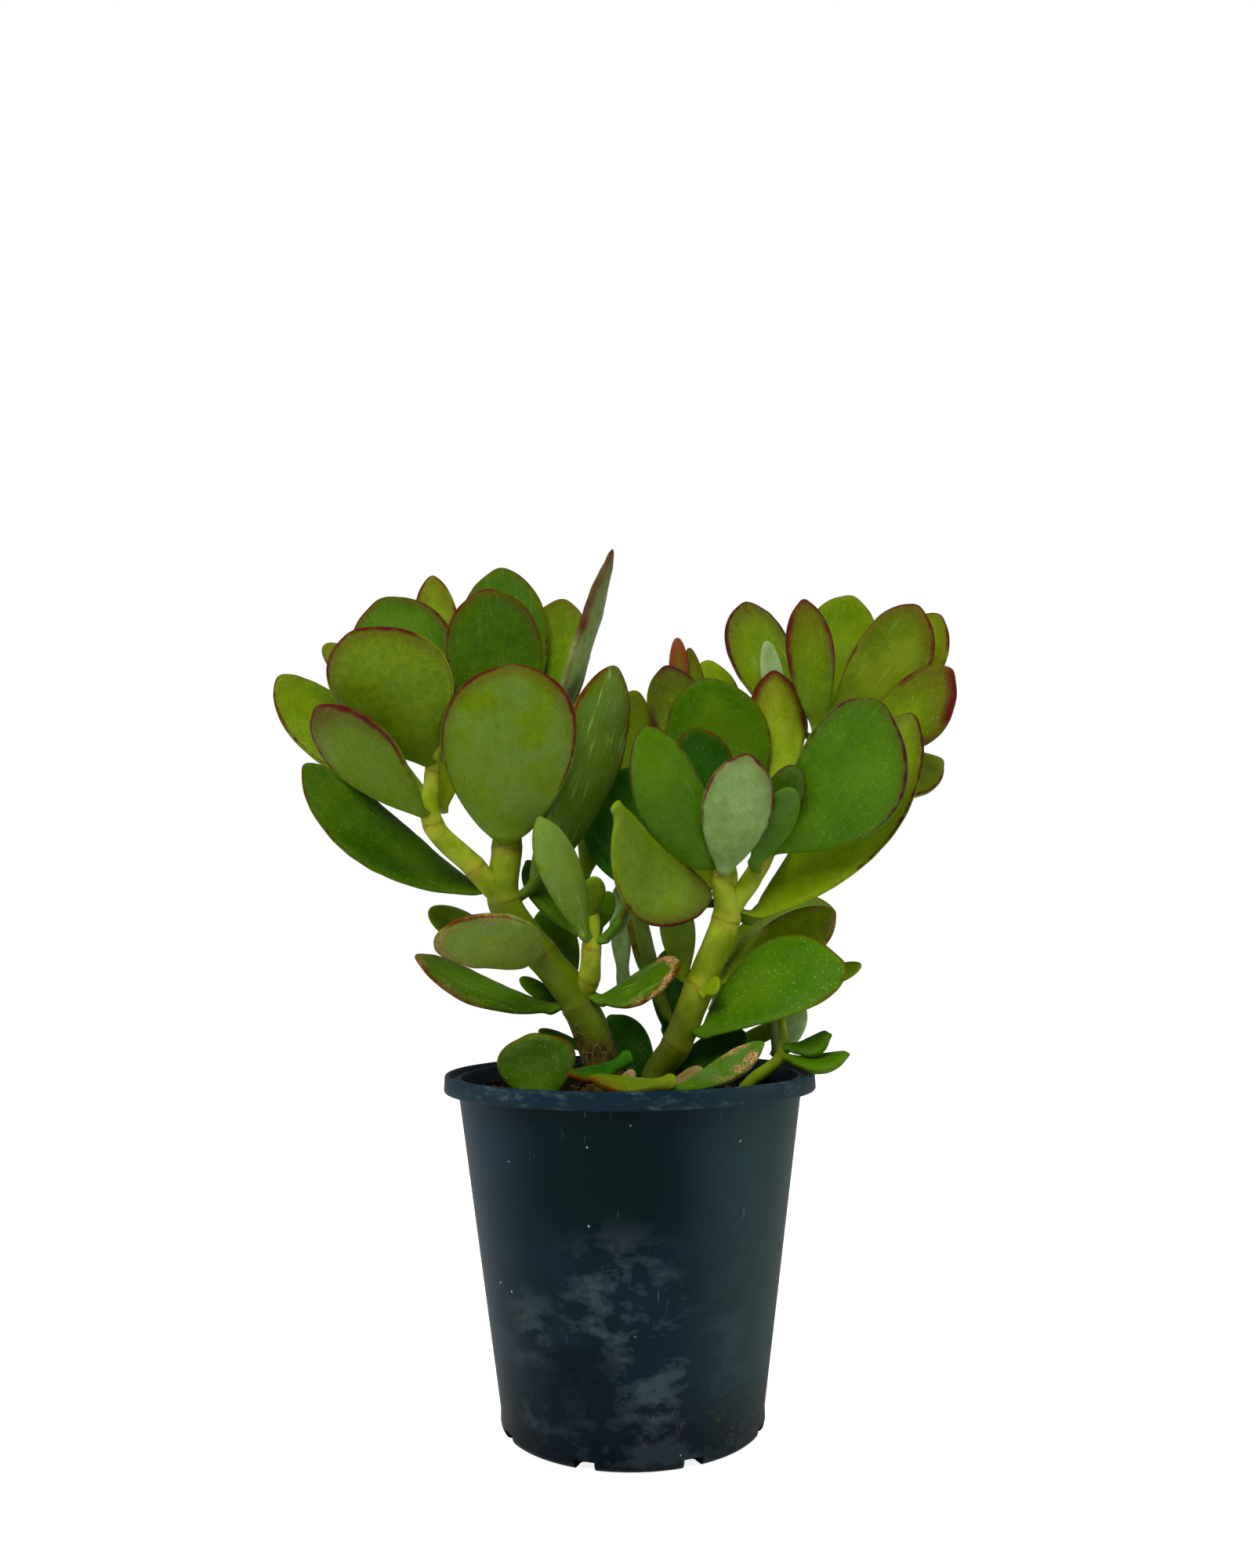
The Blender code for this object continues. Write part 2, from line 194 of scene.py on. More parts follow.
def arc(centre, radius, start, end, steps):
    turns = [math.radians(start + (end - start) * step / steps) for step in range(steps + 1)]
    return [(centre[0] + radius * math.cos(a), centre[1] + radius * math.sin(a)) for a in turns]


def wall_radius(height):
    return WALL_FOOT + (WALL_TOP - WALL_FOOT) * (height - FOOT_HEIGHT) / (UNDER_RIM - FOOT_HEIGHT)


def along_wall(start, end, inset, steps):
    """Points up or down the tapered wall."""
    heights = [start + (end - start) * step / steps for step in range(steps + 1)]
    return [(wall_radius(height) - inset, height) for height in heights]


def pot_profile():
    inner_foot = WALL_FOOT - WALL
    rim = RIM_RADIUS
    top = POT_HEIGHT
    points = [(0, BASE_THICKNESS)]
    points += arc((inner_foot - 4 * MM, BASE_THICKNESS + 4 * MM), 4 * MM, -90, 0, 6)
    points += along_wall(12 * MM, UNDER_RIM, WALL, 12)
    points += arc((rim - 5.8 * MM, top - 1.7 * MM), 0.5 * MM, 180, 60, 5)
    points += [(rim - 4.9 * MM, top - 2.2 * MM), (rim - 2.5 * MM, top - 2.3 * MM)]
    points += arc((rim - 1.1 * MM, top - 0.9 * MM), 0.9 * MM, 180, 10, 10)
    points += [(rim - 0.12 * MM, top - 3 * MM), (rim, UNDER_RIM + 0.7 * MM)]
    points += arc((rim - 0.6 * MM, UNDER_RIM + 0.5 * MM), 0.5 * MM, -10, -170, 6)
    points += [(rim - 1.5 * MM, top - 4.2 * MM), (rim - 1.9 * MM, top - 3.8 * MM)]
    points += [(rim - 4.2 * MM, top - 3.8 * MM), (rim - 4.9 * MM, top - 4.4 * MM)]
    points += along_wall(UNDER_RIM - 1.0 * MM, FOOT_HEIGHT, 0, 30)
    corner = WALL_FOOT - BASE_RADIUS
    points += arc((BASE_RADIUS, corner), corner, -4, -90, 8)
    return points + [(0, 0)]


def drain_slots():
    bm = bmesh.new()
    for index in range(DRAIN_SLOTS):
        box = bmesh.ops.create_cube(bm, size=1)["verts"]
        bmesh.ops.scale(bm, verts=box, vec=SLOT_SIZE)
        bmesh.ops.translate(bm, verts=box, vec=(BASE_RADIUS + MM, 0, 0))
        turn = Matrix.Rotation(math.radians(FIRST_SLOT_TURN + 360 / DRAIN_SLOTS * index), 3, "Z")
        bmesh.ops.rotate(bm, verts=box, cent=(0, 0, 0), matrix=turn)
    edges = [edge for edge in bm.edges if edge.calc_length() < 7 * MM]
    bmesh.ops.bevel(
        bm, geom=edges, offset=1.2 * MM, affect="EDGES", segments=3, profile=0.5, material=-1,
    )
    return new_object("drain_slots", mesh_from(bm, "drain_slots"))


def pot_plastic():
    made, tree, shader = new_material("pot_plastic", specular_ior_level=0.05)
    place = on_object(tree)
    height = add_node(tree, "SeparateXYZ", {0: place}).outputs["Z"]
    side = add_node(tree, "SeparateXYZ", {0: place}).outputs["X"]
    low = fade(tree, height, 0.085, 0.02)

    def patch(centre, radius, strength=1.0):
        """A soft round zone on the wall."""
        gap = add_node(tree, "VectorMath", {0: place, 1: centre}, operation="DISTANCE")
        return fade(tree, gap.outputs["Value"], radius, radius * 0.35, 0, strength)

    tint = cloud(tree, place, 26, 2)
    colour = mix(tree, fade(tree, tint, 0.35, 0.65), rgb(2, 24, 30), rgb(12, 28, 42))
    # Painted reflections: the right and the left side of the wall are painted lighter, where the
    # side windows would be mirrored in the plastic.
    colour = mix(tree, fade(tree, side, 0.010, 0.045, 0, 0.8), colour, rgb(38, 60, 64))
    colour = mix(tree, fade(tree, side, -0.030, -0.058, 0, 0.75), colour, rgb(32, 50, 66))
    # Painted shade: a darker patch on the front of the wall, between the painted reflections.
    colour = mix(tree, patch((-0.008, -0.062, 0.092), 0.034, 0.85), colour, rgb(0, 18, 20))
    colour = mix(tree, fade(tree, height, 0.035, 0.0, 0, 0.8), colour, rgb(1, 7, 16))

    # Lime stains: clouds with a tide line, dried onto the front and round the foot.
    clouds = cloud(tree, stretched(tree, place, 1, 1, 1.7), 62, 7, 0.62)
    front_zone = patch((-0.004, -0.062, 0.052), 0.036)
    front_zone = maths(tree, "MAXIMUM", front_zone, patch((0.010, -0.060, 0.030), 0.032))
    zone = maths(tree, "MAXIMUM", front_zone, times(tree, low, 0.45))
    tide = fade(tree, maths(tree, "ABSOLUTE", maths(tree, "SUBTRACT", clouds, 0.53)), 0.03, 0.0)
    film = fade(tree, clouds, 0.50, 0.62)
    stain = times(tree, maths(tree, "MAXIMUM", times(tree, tide, 0.5), film), zone)
    colour = mix(tree, times(tree, stain, 0.55), colour, rgb(62, 76, 86))
    wavy = scaled_plus(tree, cloud(tree, place, 90, 3), 0.012, height)
    wet = times(tree, patch((-0.024, -0.056, 0.030), 0.026), fade(tree, wavy, 0.050, 0.046))
    colour = mix(tree, times(tree, wet, 0.75), colour, rgb(3, 12, 22))
    halo = times(tree, patch((-0.040, -0.048, 0.044), 0.020), 0.5)
    colour = mix(tree, times(tree, halo, fade(tree, clouds, 0.4, 0.55)), colour, rgb(54, 68, 72))

    # Specks, scuffs, the worn rim and dry mud at the foot.
    specks = add_node(tree, "TexVoronoi", {"Vector": place, "Scale": 170.0}).outputs["Distance"]
    rare = fade(tree, cloud(tree, place, 60, 1), 0.62, 0.66)
    speck = times(tree, fade(tree, specks, 0.09, 0.05), rare)
    colour = mix(tree, times(tree, speck, 0.8), colour, rgb(165, 170, 168))

    scuff_lines = cloud(tree, stretched(tree, place, 900, 900, 60), 1, 2)
    scuff_zone = fade(tree, cloud(tree, place, 55, 2), 0.55, 0.72)
    scuff = times(tree, fade(tree, scuff_lines, 0.62, 0.72), scuff_zone)
    colour = mix(tree, times(tree, scuff, 0.35), colour, rgb(92, 100, 104))

    rim = fade(tree, height, UNDER_RIM - 0.5 * MM, UNDER_RIM + 0.5 * MM)
    worn = fade(tree, cloud(tree, stretched(tree, place, 150, 150, 420), 1, 5, 0.7), 0.48, 0.7)
    worn = times(tree, worn, rim)
    colour = mix(tree, times(tree, rim, 0.7), colour, rgb(16, 36, 48))
    colour = mix(tree, times(tree, worn, 0.25), colour, rgb(92, 110, 120))

    mud = fade(tree, cloud(tree, place, 240, 5, 0.7), 0.56, 0.66)
    mud = times(tree, mud, fade(tree, height, 0.028, 0.008))
    mud = times(tree, mud, fade(tree, cloud(tree, place, 30, 1), 0.5, 0.62))
    colour = mix(tree, times(tree, mud, 0.8), colour, rgb(66, 54, 42))

    grain = cloud(tree, place, 2400, 2)
    roughness = scaled_plus(tree, stain, 0.16, scaled_plus(tree, worn, 0.15, 0.42))
    bumps = scaled_plus(tree, scuff, -0.5, scaled_plus(tree, tint, 3.0, grain))
    surface(tree, shader, colour, roughness, bumps, 0.06 * MM)
    return made


def build_pot():
    bm = lathe(pot_profile(), POT_STEPS)
    pot = piece_from(bm, "nursery_pot", pot_plastic(), "pot_plastic", "pot")
    cutter = drain_slots()
    cut = pot.modifiers.new("drain_slots", "BOOLEAN")
    cut.object = cutter
    cut.solver = "EXACT"
    bpy.context.view_layer.update()
    evaluated = pot.evaluated_get(bpy.context.evaluated_depsgraph_get())
    cut_mesh = bpy.data.meshes.new_from_object(evaluated)
    pot.modifiers.clear()
    pot.data = cut_mesh
    bpy.data.objects.remove(cutter, do_unlink=True)
    cut_mesh.shade_smooth()
    cut_mesh.set_sharp_from_angle(angle=math.radians(50))


build_pot()


# --- Potting mix ---
# Composted bark, nearly black, filled to 8 mm under the rim and settled into
# small hills. Loose bark chips and a few grains of pale grit lie on it.

MIX_LOW, MIX_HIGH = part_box("potting_mix")
MIX_LEVEL = MIX_HIGH.z
MIX_RADIUS = MIX_HIGH.x
MIX_RINGS, MIX_STEPS = 44, 128
CHIPS_IN_HAND = 40


def ripples(points, wavelength, seed):
    """A smooth random height from -1 to 1 at each point, made of six crossing waves."""
    draw = np.random.default_rng(seed)
    total = np.zeros(len(points))
    for _ in range(6):
        direction = draw.normal(size=points.shape[1])
        direction *= math.tau / wavelength / np.linalg.norm(direction) * draw.uniform(0.7, 1.4)
        total += np.sin(points @ direction + draw.uniform(0, math.tau))
    return total / 3.2


def read_points(mesh):
    points = np.empty(len(mesh.vertices) * 3)
    mesh.vertices.foreach_get("co", points)
    return points.reshape(-1, 3)


def write_points(mesh, points):
    mesh.vertices.foreach_set("co", np.asarray(points, np.float32).ravel())
    mesh.update()


def hills(points):
    """How far the settled mix rises and falls, in millimetres."""
    return 1.1 * ripples(points, 0.030, 4) + 0.7 * ripples(points, 0.011, 5)


def mix_height(x, y):
    """Height at which a chip rests on the mix."""
    return MIX_LEVEL + (hills(np.array([[x, y]], float))[0] - 0.8) * MM


def bark():
    made, tree, shader = new_material("bark_mix", specular_ior_level=0.15)
    place = on_object(tree)
    tone = point_value(tree, "tone")
    fibre = cloud(tree, stretched(tree, place, 900, 300, 900), 1, 5, 0.7)
    crumbs = fade(tree, cloud(tree, place, 420, 5), 0.35, 0.7)
    colour = mix(tree, crumbs, rgb(8, 7, 4), rgb(28, 21, 13))
    colour = mix(tree, fade(tree, tone, 0.5, 0.95, 0, 0.75), colour, rgb(64, 46, 29))
    colour = mix(tree, fade(tree, tone, 1.4, 1.6), colour, rgb(196, 188, 170))
    colour = mix(tree, fade(tree, fibre, 0.5, 0.75, 0, 0.6), colour, rgb(15, 11, 9))
    roughness = fade(tree, fibre, 0.3, 0.7, 0.8, 0.97)
    surface(tree, shader, colour, roughness, fibre, 0.6 * MM)
    return made


BARK = bark()


def build_mix():
    profile = [(0, MIX_LOW.z), (MIX_RADIUS - 18 * MM, MIX_LOW.z)]
    profile += [(wall_radius(height) - WALL - 0.3 * MM, height) for height in (10 * MM, 60 * MM)]
    edge = wall_radius(MIX_LEVEL) - WALL - 0.25 * MM
    profile += [(edge * step / MIX_RINGS, MIX_LEVEL) for step in range(MIX_RINGS, -1, -1)]
    mix_piece = piece_from(lathe(profile, MIX_STEPS), "bark_bed", BARK, "bark_mix", "potting_mix")
    points = read_points(mix_piece.data)
    top = points[:, 2] > MIX_LEVEL - MM
    flat = points[top, :2]
    points[top, 2] += (hills(flat) + 0.5 * ripples(flat, 0.004, 6) - 1.2) * MM
    write_points(mix_piece.data, points)
    mix_piece.data.attributes.new("tone", "FLOAT", "POINT")


def handful(count, sizes, tones, draw):
    """Loose chips lying at every angle on the mix; a chip is a squashed and dented ball.

    sizes are in millimetres. A tone runs from 0 for black bark to 1 for brown; grit is near 1.8.
    """
    bm = bmesh.new()
    tone = bm.verts.layers.float.new("tone")
    edge = wall_radius(MIX_LEVEL) - WALL - 2.5 * MM
    for _ in range(count):
        radius = edge * math.sqrt(draw.random())
        turn = draw.uniform(0, math.tau)
        x, y = radius * math.cos(turn), radius * math.sin(turn)
        size = draw.uniform(*sizes) * MM
        chip = bmesh.ops.create_icosphere(bm, subdivisions=1, radius=size / 2)["verts"]
        shade = draw.uniform(*tones)
        for vert in chip:
            vert.co *= draw.uniform(0.75, 1.2)
            vert[tone] = shade
        squash = (1.0, draw.uniform(0.3, 0.8), draw.uniform(0.15, 0.5))
        bmesh.ops.scale(bm, verts=chip, vec=squash)
        tilt = Matrix.Rotation(draw.gauss(0, 0.45), 3, "X")
        tilt = tilt @ Matrix.Rotation(draw.gauss(0, 0.45), 3, "Y")
        spun = Matrix.Rotation(draw.uniform(0, math.tau), 3, "Z")
        bmesh.ops.rotate(bm, verts=chip, cent=(0, 0, 0), matrix=spun @ tilt)
        lift = mix_height(x, y) + size * 0.12
        bmesh.ops.translate(bm, verts=chip, vec=(x, y, lift))
    return mesh_from(bm, "handful")


def scatter_chips(name, handfuls, sizes, tones, seed):
    draw = random.Random(seed)
    bm = bmesh.new()
    for _ in range(handfuls):
        bm.from_mesh(handful(CHIPS_IN_HAND, sizes, tones, draw))
    chips = piece_from(bm, name, BARK, "bark_mix")
    chips.data.shade_flat()


build_mix()
scatter_chips("bark_chips", 42, (1.5, 6.5), (0.0, 1.0), 11)
scatter_chips("pale_grit", 1, (1.6, 3.6), (1.7, 1.9), 12)


# --- Stems ---
# Soft, water-filled stems: the oldest is brown and corky at its foot, the
# rest are smooth and yellow-green. Each leaf pair leaves a thin brown ring
# where it joined, and the stem is a little swollen there.

STEM_SIDES = 48
STEM_BUTT = 2.5 * MM  # length over which a stem's end rounds off

# One point for each leaf node, from the root up: x, y, z and radius, in millimetres.
STEMS = {
    "left_trunk": [
        (-9, 0, 92, 7.0), (-9, 0, 122, 7.6), (-19, -4, 151, 7.0), (-33, -7, 170, 6.4),
        (-47, -8, 190, 6.4), (-46, -10, 211, 5.8), (-45, -9, 234, 4.4), (-46, -10, 256, 2.6),
    ],
    "left_outer_branch": [
        (-46, -8, 189, 4.4), (-58, -13, 203, 4.4), (-73, -19, 219, 4.0), (-74, -15, 239, 3.0),
        (-73, -10, 254, 2.0),
    ],
    "left_side_shoot": [
        (-18, -4, 152, 3.8), (-15, -9, 161, 4.0), (-14, -12, 172, 3.8), (-14, -6, 187, 2.8),
        (-18, 9, 199, 1.8),
    ],
    "right_trunk": [
        (10, 4, 92, 5.6), (10, 3, 122, 5.6), (18, -3, 136, 5.8), (27, -6, 158, 5.9),
        (37, -10, 183, 5.5), (35, -14, 199, 3.8), (34, -13, 214, 2.8),
    ],
    "right_back_branch": [
        (37, -10, 183, 3.2), (40, 6, 200, 3.2), (37, 14, 222, 2.8), (37, 17, 238, 2.0),
    ],
    "right_outer_branch": [
        (37, -10, 183, 3.8), (50, -12, 203, 3.8), (62, -4, 226, 3.6), (75, 5, 250, 3.0),
        (79, 7, 260, 2.0),
    ],
    "seedling_stem": [
        (40, -22, 100, 2.0), (41, -21, 120, 2.2), (56, -14, 132, 2.2), (57, -12, 146, 1.7),
    ],
}


def glide(rows, at):
    """Smooth values between rows; at counts rows from 0, and rows has one more row at each end."""
    at = np.clip(at, 0, len(rows) - 3 - 1e-9)
    first = np.floor(at).astype(int)
    part = (at - first)[:, None]
    before, start, end, after = (rows[first + step] for step in range(4))
    return 0.5 * (
        2 * start
        + (end - before) * part
        + (2 * before - 5 * start + 4 * end - after) * part**2
        + (3 * start - before - 3 * end + after) * part**3
    )


def with_ends(rows):
    """The rows with one more in line at each end."""
    return np.vstack([2 * rows[0] - rows[1], rows, 2 * rows[-1] - rows[-2]])


def unit(vectors):
    return vectors / np.linalg.norm(vectors, axis=-1, keepdims=True)


def ball(sides, rings):
    """A sphere's bmesh, whose rings will be moved along a stem or a leaf."""
    bm = bmesh.new()
    bmesh.ops.create_uvsphere(bm, u_segments=sides, v_segments=rings, radius=1)
    return bm


def ball_coordinates(mesh):
    """For each point of the ball: how far along it is, from 0 to 1, and its turn round the axis."""
    points = read_points(mesh)
    along = np.arccos(np.clip(-points[:, 2], -1, 1)) / math.pi
    return along, np.arctan2(points[:, 1], points[:, 0])


def set_values(mesh, name, values):
    """Keeps one value for each of the mesh's points, for its material to read."""
    layer = mesh.attributes.new(name, "FLOAT", "POINT")
    layer.data.foreach_set("value", np.asarray(values, np.float32))


def stem_skin(name, flesh, pale, painted_shade_top, bark_top):
    """Stem colours; painted shade darkens it below the height painted_shade_top, as under the
    crown, and bark reaches up to bark_top.
    """
    made, tree, shader = new_material(
        name, subsurface_weight=0.12, subsurface_scale=0.003, specular_ior_level=0.13,
    )
    place = on_object(tree)
    height = add_node(tree, "SeparateXYZ", {0: place}).outputs["Z"]
    ring = point_value(tree, "leaf_ring")
    near_ring = point_value(tree, "near_ring")
    patches = cloud(tree, place, 120, 3)
    fine = cloud(tree, stretched(tree, place, 1600, 1600, 500), 1, 3)
    colour = mix(tree, fade(tree, patches, 0.35, 0.65), flesh, pale)
    blush = times(tree, near_ring, fade(tree, cloud(tree, place, 260, 3), 0.35, 0.6))
    colour = mix(tree, times(tree, blush, 0.35), colour, rgb(168, 130, 52))
    colour = mix(tree, fade(tree, fine, 0.55, 0.8, 0, 0.22), colour, rgb(182, 194, 92))
    # Painted shade: the stem is painted darker below the given height, where the crown above would
    # shade it.
    shaded = fade(tree, height, painted_shade_top, painted_shade_top - 0.03, 0, 0.8)
    colour = mix(tree, shaded, colour, rgb(66, 90, 1))

    wavy_height = scaled_plus(tree, patches, 0.02, height)
    corky = fade(tree, wavy_height, bark_top + 0.012, bark_top - 0.006)
    cracks = add_node(
        tree, "TexVoronoi", {"Vector": stretched(tree, place, 1, 1, 0.45), "Scale": 330.0},
        feature="DISTANCE_TO_EDGE",
    ).outputs["Distance"]
    crack = fade(tree, cracks, 0.07, 0.0)
    flakes = fade(tree, cloud(tree, place, 300, 4), 0.3, 0.7)
    bark_colour = mix(tree, flakes, rgb(40, 34, 6), rgb(76, 66, 20))
    bark_colour = mix(tree, times(tree, crack, 0.6), bark_colour, rgb(112, 104, 48))
    colour = mix(tree, corky, colour, bark_colour)
    colour = mix(tree, times(tree, ring, 0.6), colour, rgb(88, 62, 16))

    roughness = scaled_plus(tree, corky, 0.25, scaled_plus(tree, patches, 0.15, 0.34))
    raised = times(tree, crack, times(tree, corky, 1.2))
    raised = scaled_plus(tree, fine, 0.35, raised)
    surface(tree, shader, colour, roughness, raised, 0.22 * MM)
    return made


GREEN_STEM = stem_skin(
    "green_stem", rgb(108, 130, 6), rgb(140, 158, 34), painted_shade_top=0.152, bark_top=0.06,
)
OLD_STEM = stem_skin(
    "old_stem", rgb(104, 126, 8), rgb(132, 150, 30), painted_shade_top=0.208, bark_top=0.148,
)


def build_stem(name, material, slot):
    route = np.array(STEMS[name], float) * MM
    spans = np.linalg.norm(np.diff(route[:, :3], axis=0), axis=1)
    length = spans.sum()
    rings = max(40, int(length / (0.9 * MM)))
    stem = piece_from(ball(STEM_SIDES, rings), name + "_flesh", material, slot, name)
    along, turn = ball_coordinates(stem.data)

    reached = along * length
    node_places = np.concatenate([[0], np.cumsum(spans)])
    counted = np.interp(reached, node_places, np.arange(len(route)))
    rows = with_ends(route)
    line = glide(rows, counted)
    ahead = unit(glide(rows, counted + 0.02)[:, :3] - glide(rows, counted - 0.02)[:, :3])
    side = unit(np.cross(np.array([0.0, 1.0, 0.0]), ahead))
    front = np.cross(ahead, side)

    away = np.abs(reached[:, None] - node_places[None, 1:-1])
    lean = 0.8 * MM * np.cos(turn + 0.7)
    away_leaning = np.abs(reached[:, None] + lean[:, None] - node_places[None, 1:-1])
    swelling = np.exp(-((away / (2.6 * MM)) ** 2)).sum(axis=1)
    groove = np.exp(-((away_leaning / (0.35 * MM)) ** 2)).sum(axis=1)
    radius = line[:, 3] * (0.965 + 0.075 * swelling) - 0.22 * MM * groove
    edge = line[:, :3] + radius[:, None] * side * np.cos(turn)[:, None]
    radius += 0.16 * MM * ripples(edge, 0.012, 21)
    ends = np.minimum(reached, length - reached) / STEM_BUTT
    radius *= np.sqrt(1 - (1 - np.clip(ends, 0, 1)) ** 2)
    around = side * np.cos(turn)[:, None] + front * np.sin(turn)[:, None] * 0.96
    write_points(stem.data, line[:, :3] + around * radius[:, None])
    set_values(stem.data, "leaf_ring", np.exp(-((away_leaning / (0.42 * MM)) ** 2)).sum(axis=1))
    set_values(stem.data, "near_ring", np.exp(-((away / (4 * MM)) ** 2)).sum(axis=1))


for stem_name in STEMS:
    if stem_name == "left_trunk":
        build_stem(stem_name, OLD_STEM, "woody_stem")
    else:
        build_stem(stem_name, GREEN_STEM, "green_stem")


# --- Leaves ---
# Thick oval leaves that store water. Each grows from a short stalk, is a
# little hollow above and full below, and has a thin raised margin that light
# turns red. Wax lies on the skin as a grey bloom where nothing rubs it off.

CAD_SIDES = 10
LEAF_SIDES = 52
LEAF_RINGS = 60
STALK_WIDTH = 2.7 * MM
STALK_THICKNESS = 2.1 * MM
NEAR_A_STEM = 16 * MM
SMALL_LEAF_WIDEST = 0.6  # where a small leaf is widest, as a part of its length
SMALL_LEAF_CUP = 0.1
SMALL_LEAF_SAG = 1.0


def stem_lines():
    """Points close together along every stem's middle."""
    lines = []
    for route in STEMS.values():
        rows = with_ends(np.array(route, float)[:, :3] * MM)
        lines.append(glide(rows, np.linspace(0, len(route) - 1, 60)))
    return np.vstack(lines)


STEM_LINES = stem_lines()


def in_order(ring):
    """The points of one ring, each next to the one before."""
    ordered, near = [], ring
    while near:
        ordered.append(min(near, key=lambda vert: vert.index))
        ring = ring - {ordered[-1]}
        near = {edge.other_vert(ordered[-1]) for edge in ordered[-1].link_edges} & ring
    return np.array([vert.co for vert in ordered])


def rings_of(name):
    """The leaf solid's points in rings, from the stalk's end to the tip."""
    bm = bmesh.new()
    bm.from_mesh(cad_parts[name].data)
    bmesh.ops.remove_doubles(bm, verts=bm.verts, dist=1e-5)
    bm.verts.index_update()
    poles = sorted(bm.verts, key=lambda vert: -len(vert.link_edges))[:2]

    def spread(pole):
        return sum(edge.calc_length() for edge in pole.link_edges)

    rings = [{min(poles, key=spread)}]
    seen = set(rings[0])
    while len(seen) < len(bm.verts):
        reached = {edge.other_vert(vert) for vert in rings[-1] for edge in vert.link_edges} - seen
        seen |= reached
        rings.append(reached)
    points = [in_order(ring) for ring in rings]
    bm.free()
    return points


def shape_of(name):
    """The leaf solid as rows from stalk to tip: middle, half width, half thickness and cupping."""
    rings = rings_of(name)
    stalk, tip = rings[0][0], rings[-1][0]
    ahead = unit(tip - stalk)
    widest = rings[CAD_SIDES // 2]
    gaps = np.linalg.norm(widest[:, None] - widest[None], axis=2)
    left, right = np.unravel_index(gaps.argmax(), gaps.shape)
    side = unit(widest[left] - widest[right])
    upper = np.cross(ahead, side)
    if (widest[left] + widest[right]) @ upper / 2 < widest.mean(axis=0) @ upper:
        upper = -upper
    side = np.cross(upper, ahead)
    turns = math.tau * np.arange(CAD_SIDES) / CAD_SIDES
    waves = (np.cos(turns), np.sin(turns), np.cos(2 * turns))
    rows = []
    for ring in rings[1:-1]:
        starts = [
            np.roll(way, step, axis=0) for way in (ring, ring[::-1]) for step in range(CAD_SIDES)
        ]
        ring = max(starts, key=lambda way: waves[0] @ way @ side + 0.3 * waves[1] @ way @ upper)
        rows.append([ring.mean(axis=0), *(2 / CAD_SIDES * wave @ ring for wave in waves)])
    return np.array(rows), stalk, tip, side, upper


def new_shape(base, tip, width, face, thick, sag):
    """The same rows for a small leaf that has no solid; sizes in millimetres."""
    base, tip, face = (np.array(vector, float) for vector in (base, tip, face))
    ahead = unit(tip - base)
    side = unit(np.cross(face, ahead))
    upper = np.cross(ahead, side)
    bulge = math.log(0.5) / math.log(SMALL_LEAF_WIDEST)
    rows = []
    for step in range(1, CAD_SIDES):
        angle = math.pi * step / CAD_SIDES
        run, ring = (1 - math.cos(angle)) / 2, math.sin(angle)
        spread = max(math.sin(math.pi * run**bulge) ** 0.5, 0.16 * ring)
        belly = 4 * run * (1 - run)
        lift = SMALL_LEAF_CUP * width / 4 * spread**2
        middle = base + (tip - base) * run + upper * (lift - sag * belly)
        wide, deep = side * width / 2 * spread, upper * thick / 2 * ring**0.6
        rows.append([middle, wide, deep, upper * lift])
    return np.array(rows) * MM, base * MM, tip * MM, side, upper


def distance_to(outline, points):
    """The shortest distance from each point to a line of points, in a plane."""
    shortest = np.full(len(points), 1.0)
    for start in range(0, len(outline), 40):
        part = outline[start : start + 40]
        gaps = np.linalg.norm(points[:, None] - part[None], axis=2)
        shortest = np.minimum(shortest, gaps.min(axis=1))
    return shortest


def leaf_rows(shape):
    """Rows for gliding along the leaf, starting inside the stem and ending at the tip."""
    rows, stalk, tip, side, upper = shape
    ahead = unit(tip - stalk)
    gaps = np.linalg.norm(STEM_LINES - stalk, axis=1)
    root = STEM_LINES[gaps.argmin()] if gaps.min() < NEAR_A_STEM else stalk - ahead * 2 * MM
    none = np.zeros(3)
    start = np.array([root, side * STALK_WIDTH, upper * STALK_THICKNESS, none])
    end = np.array([tip, none, none, none])
    rows = rows.copy()
    for index in (0, 1):
        for kind, least in ((1, STALK_WIDTH), (2, STALK_THICKNESS)):
            size = np.linalg.norm(rows[index, kind])
            rows[index, kind] *= max(1.0, least / size)
    beyond = np.array([rows[-1, 0], -rows[-1, 1], -rows[-1, 2], rows[-1, 3]])
    before = np.array([2 * root - rows[0, 0], side * STALK_WIDTH, upper * STALK_THICKNESS, none])
    full = np.vstack([before[None], start[None], rows, end[None], beyond[None]])
    return full.reshape(len(full), 12)


def leaf_points(rows, along, turn):
    """The leaf's skin at these places, without its small irregularities."""
    at = glide(rows, along * (len(rows) - 3))
    middle, wide, thick, cupped = (at[:, 3 * kind : 3 * kind + 3] for kind in range(4))
    closing = np.sqrt(1 - (1 - np.clip(along / 0.03, 0, 1)) ** 2)[:, None]
    cos, sin = np.cos(turn)[:, None], np.sin(turn)[:, None]
    return middle + closing * (wide * cos + thick * sin + cupped * np.cos(2 * turn)[:, None])


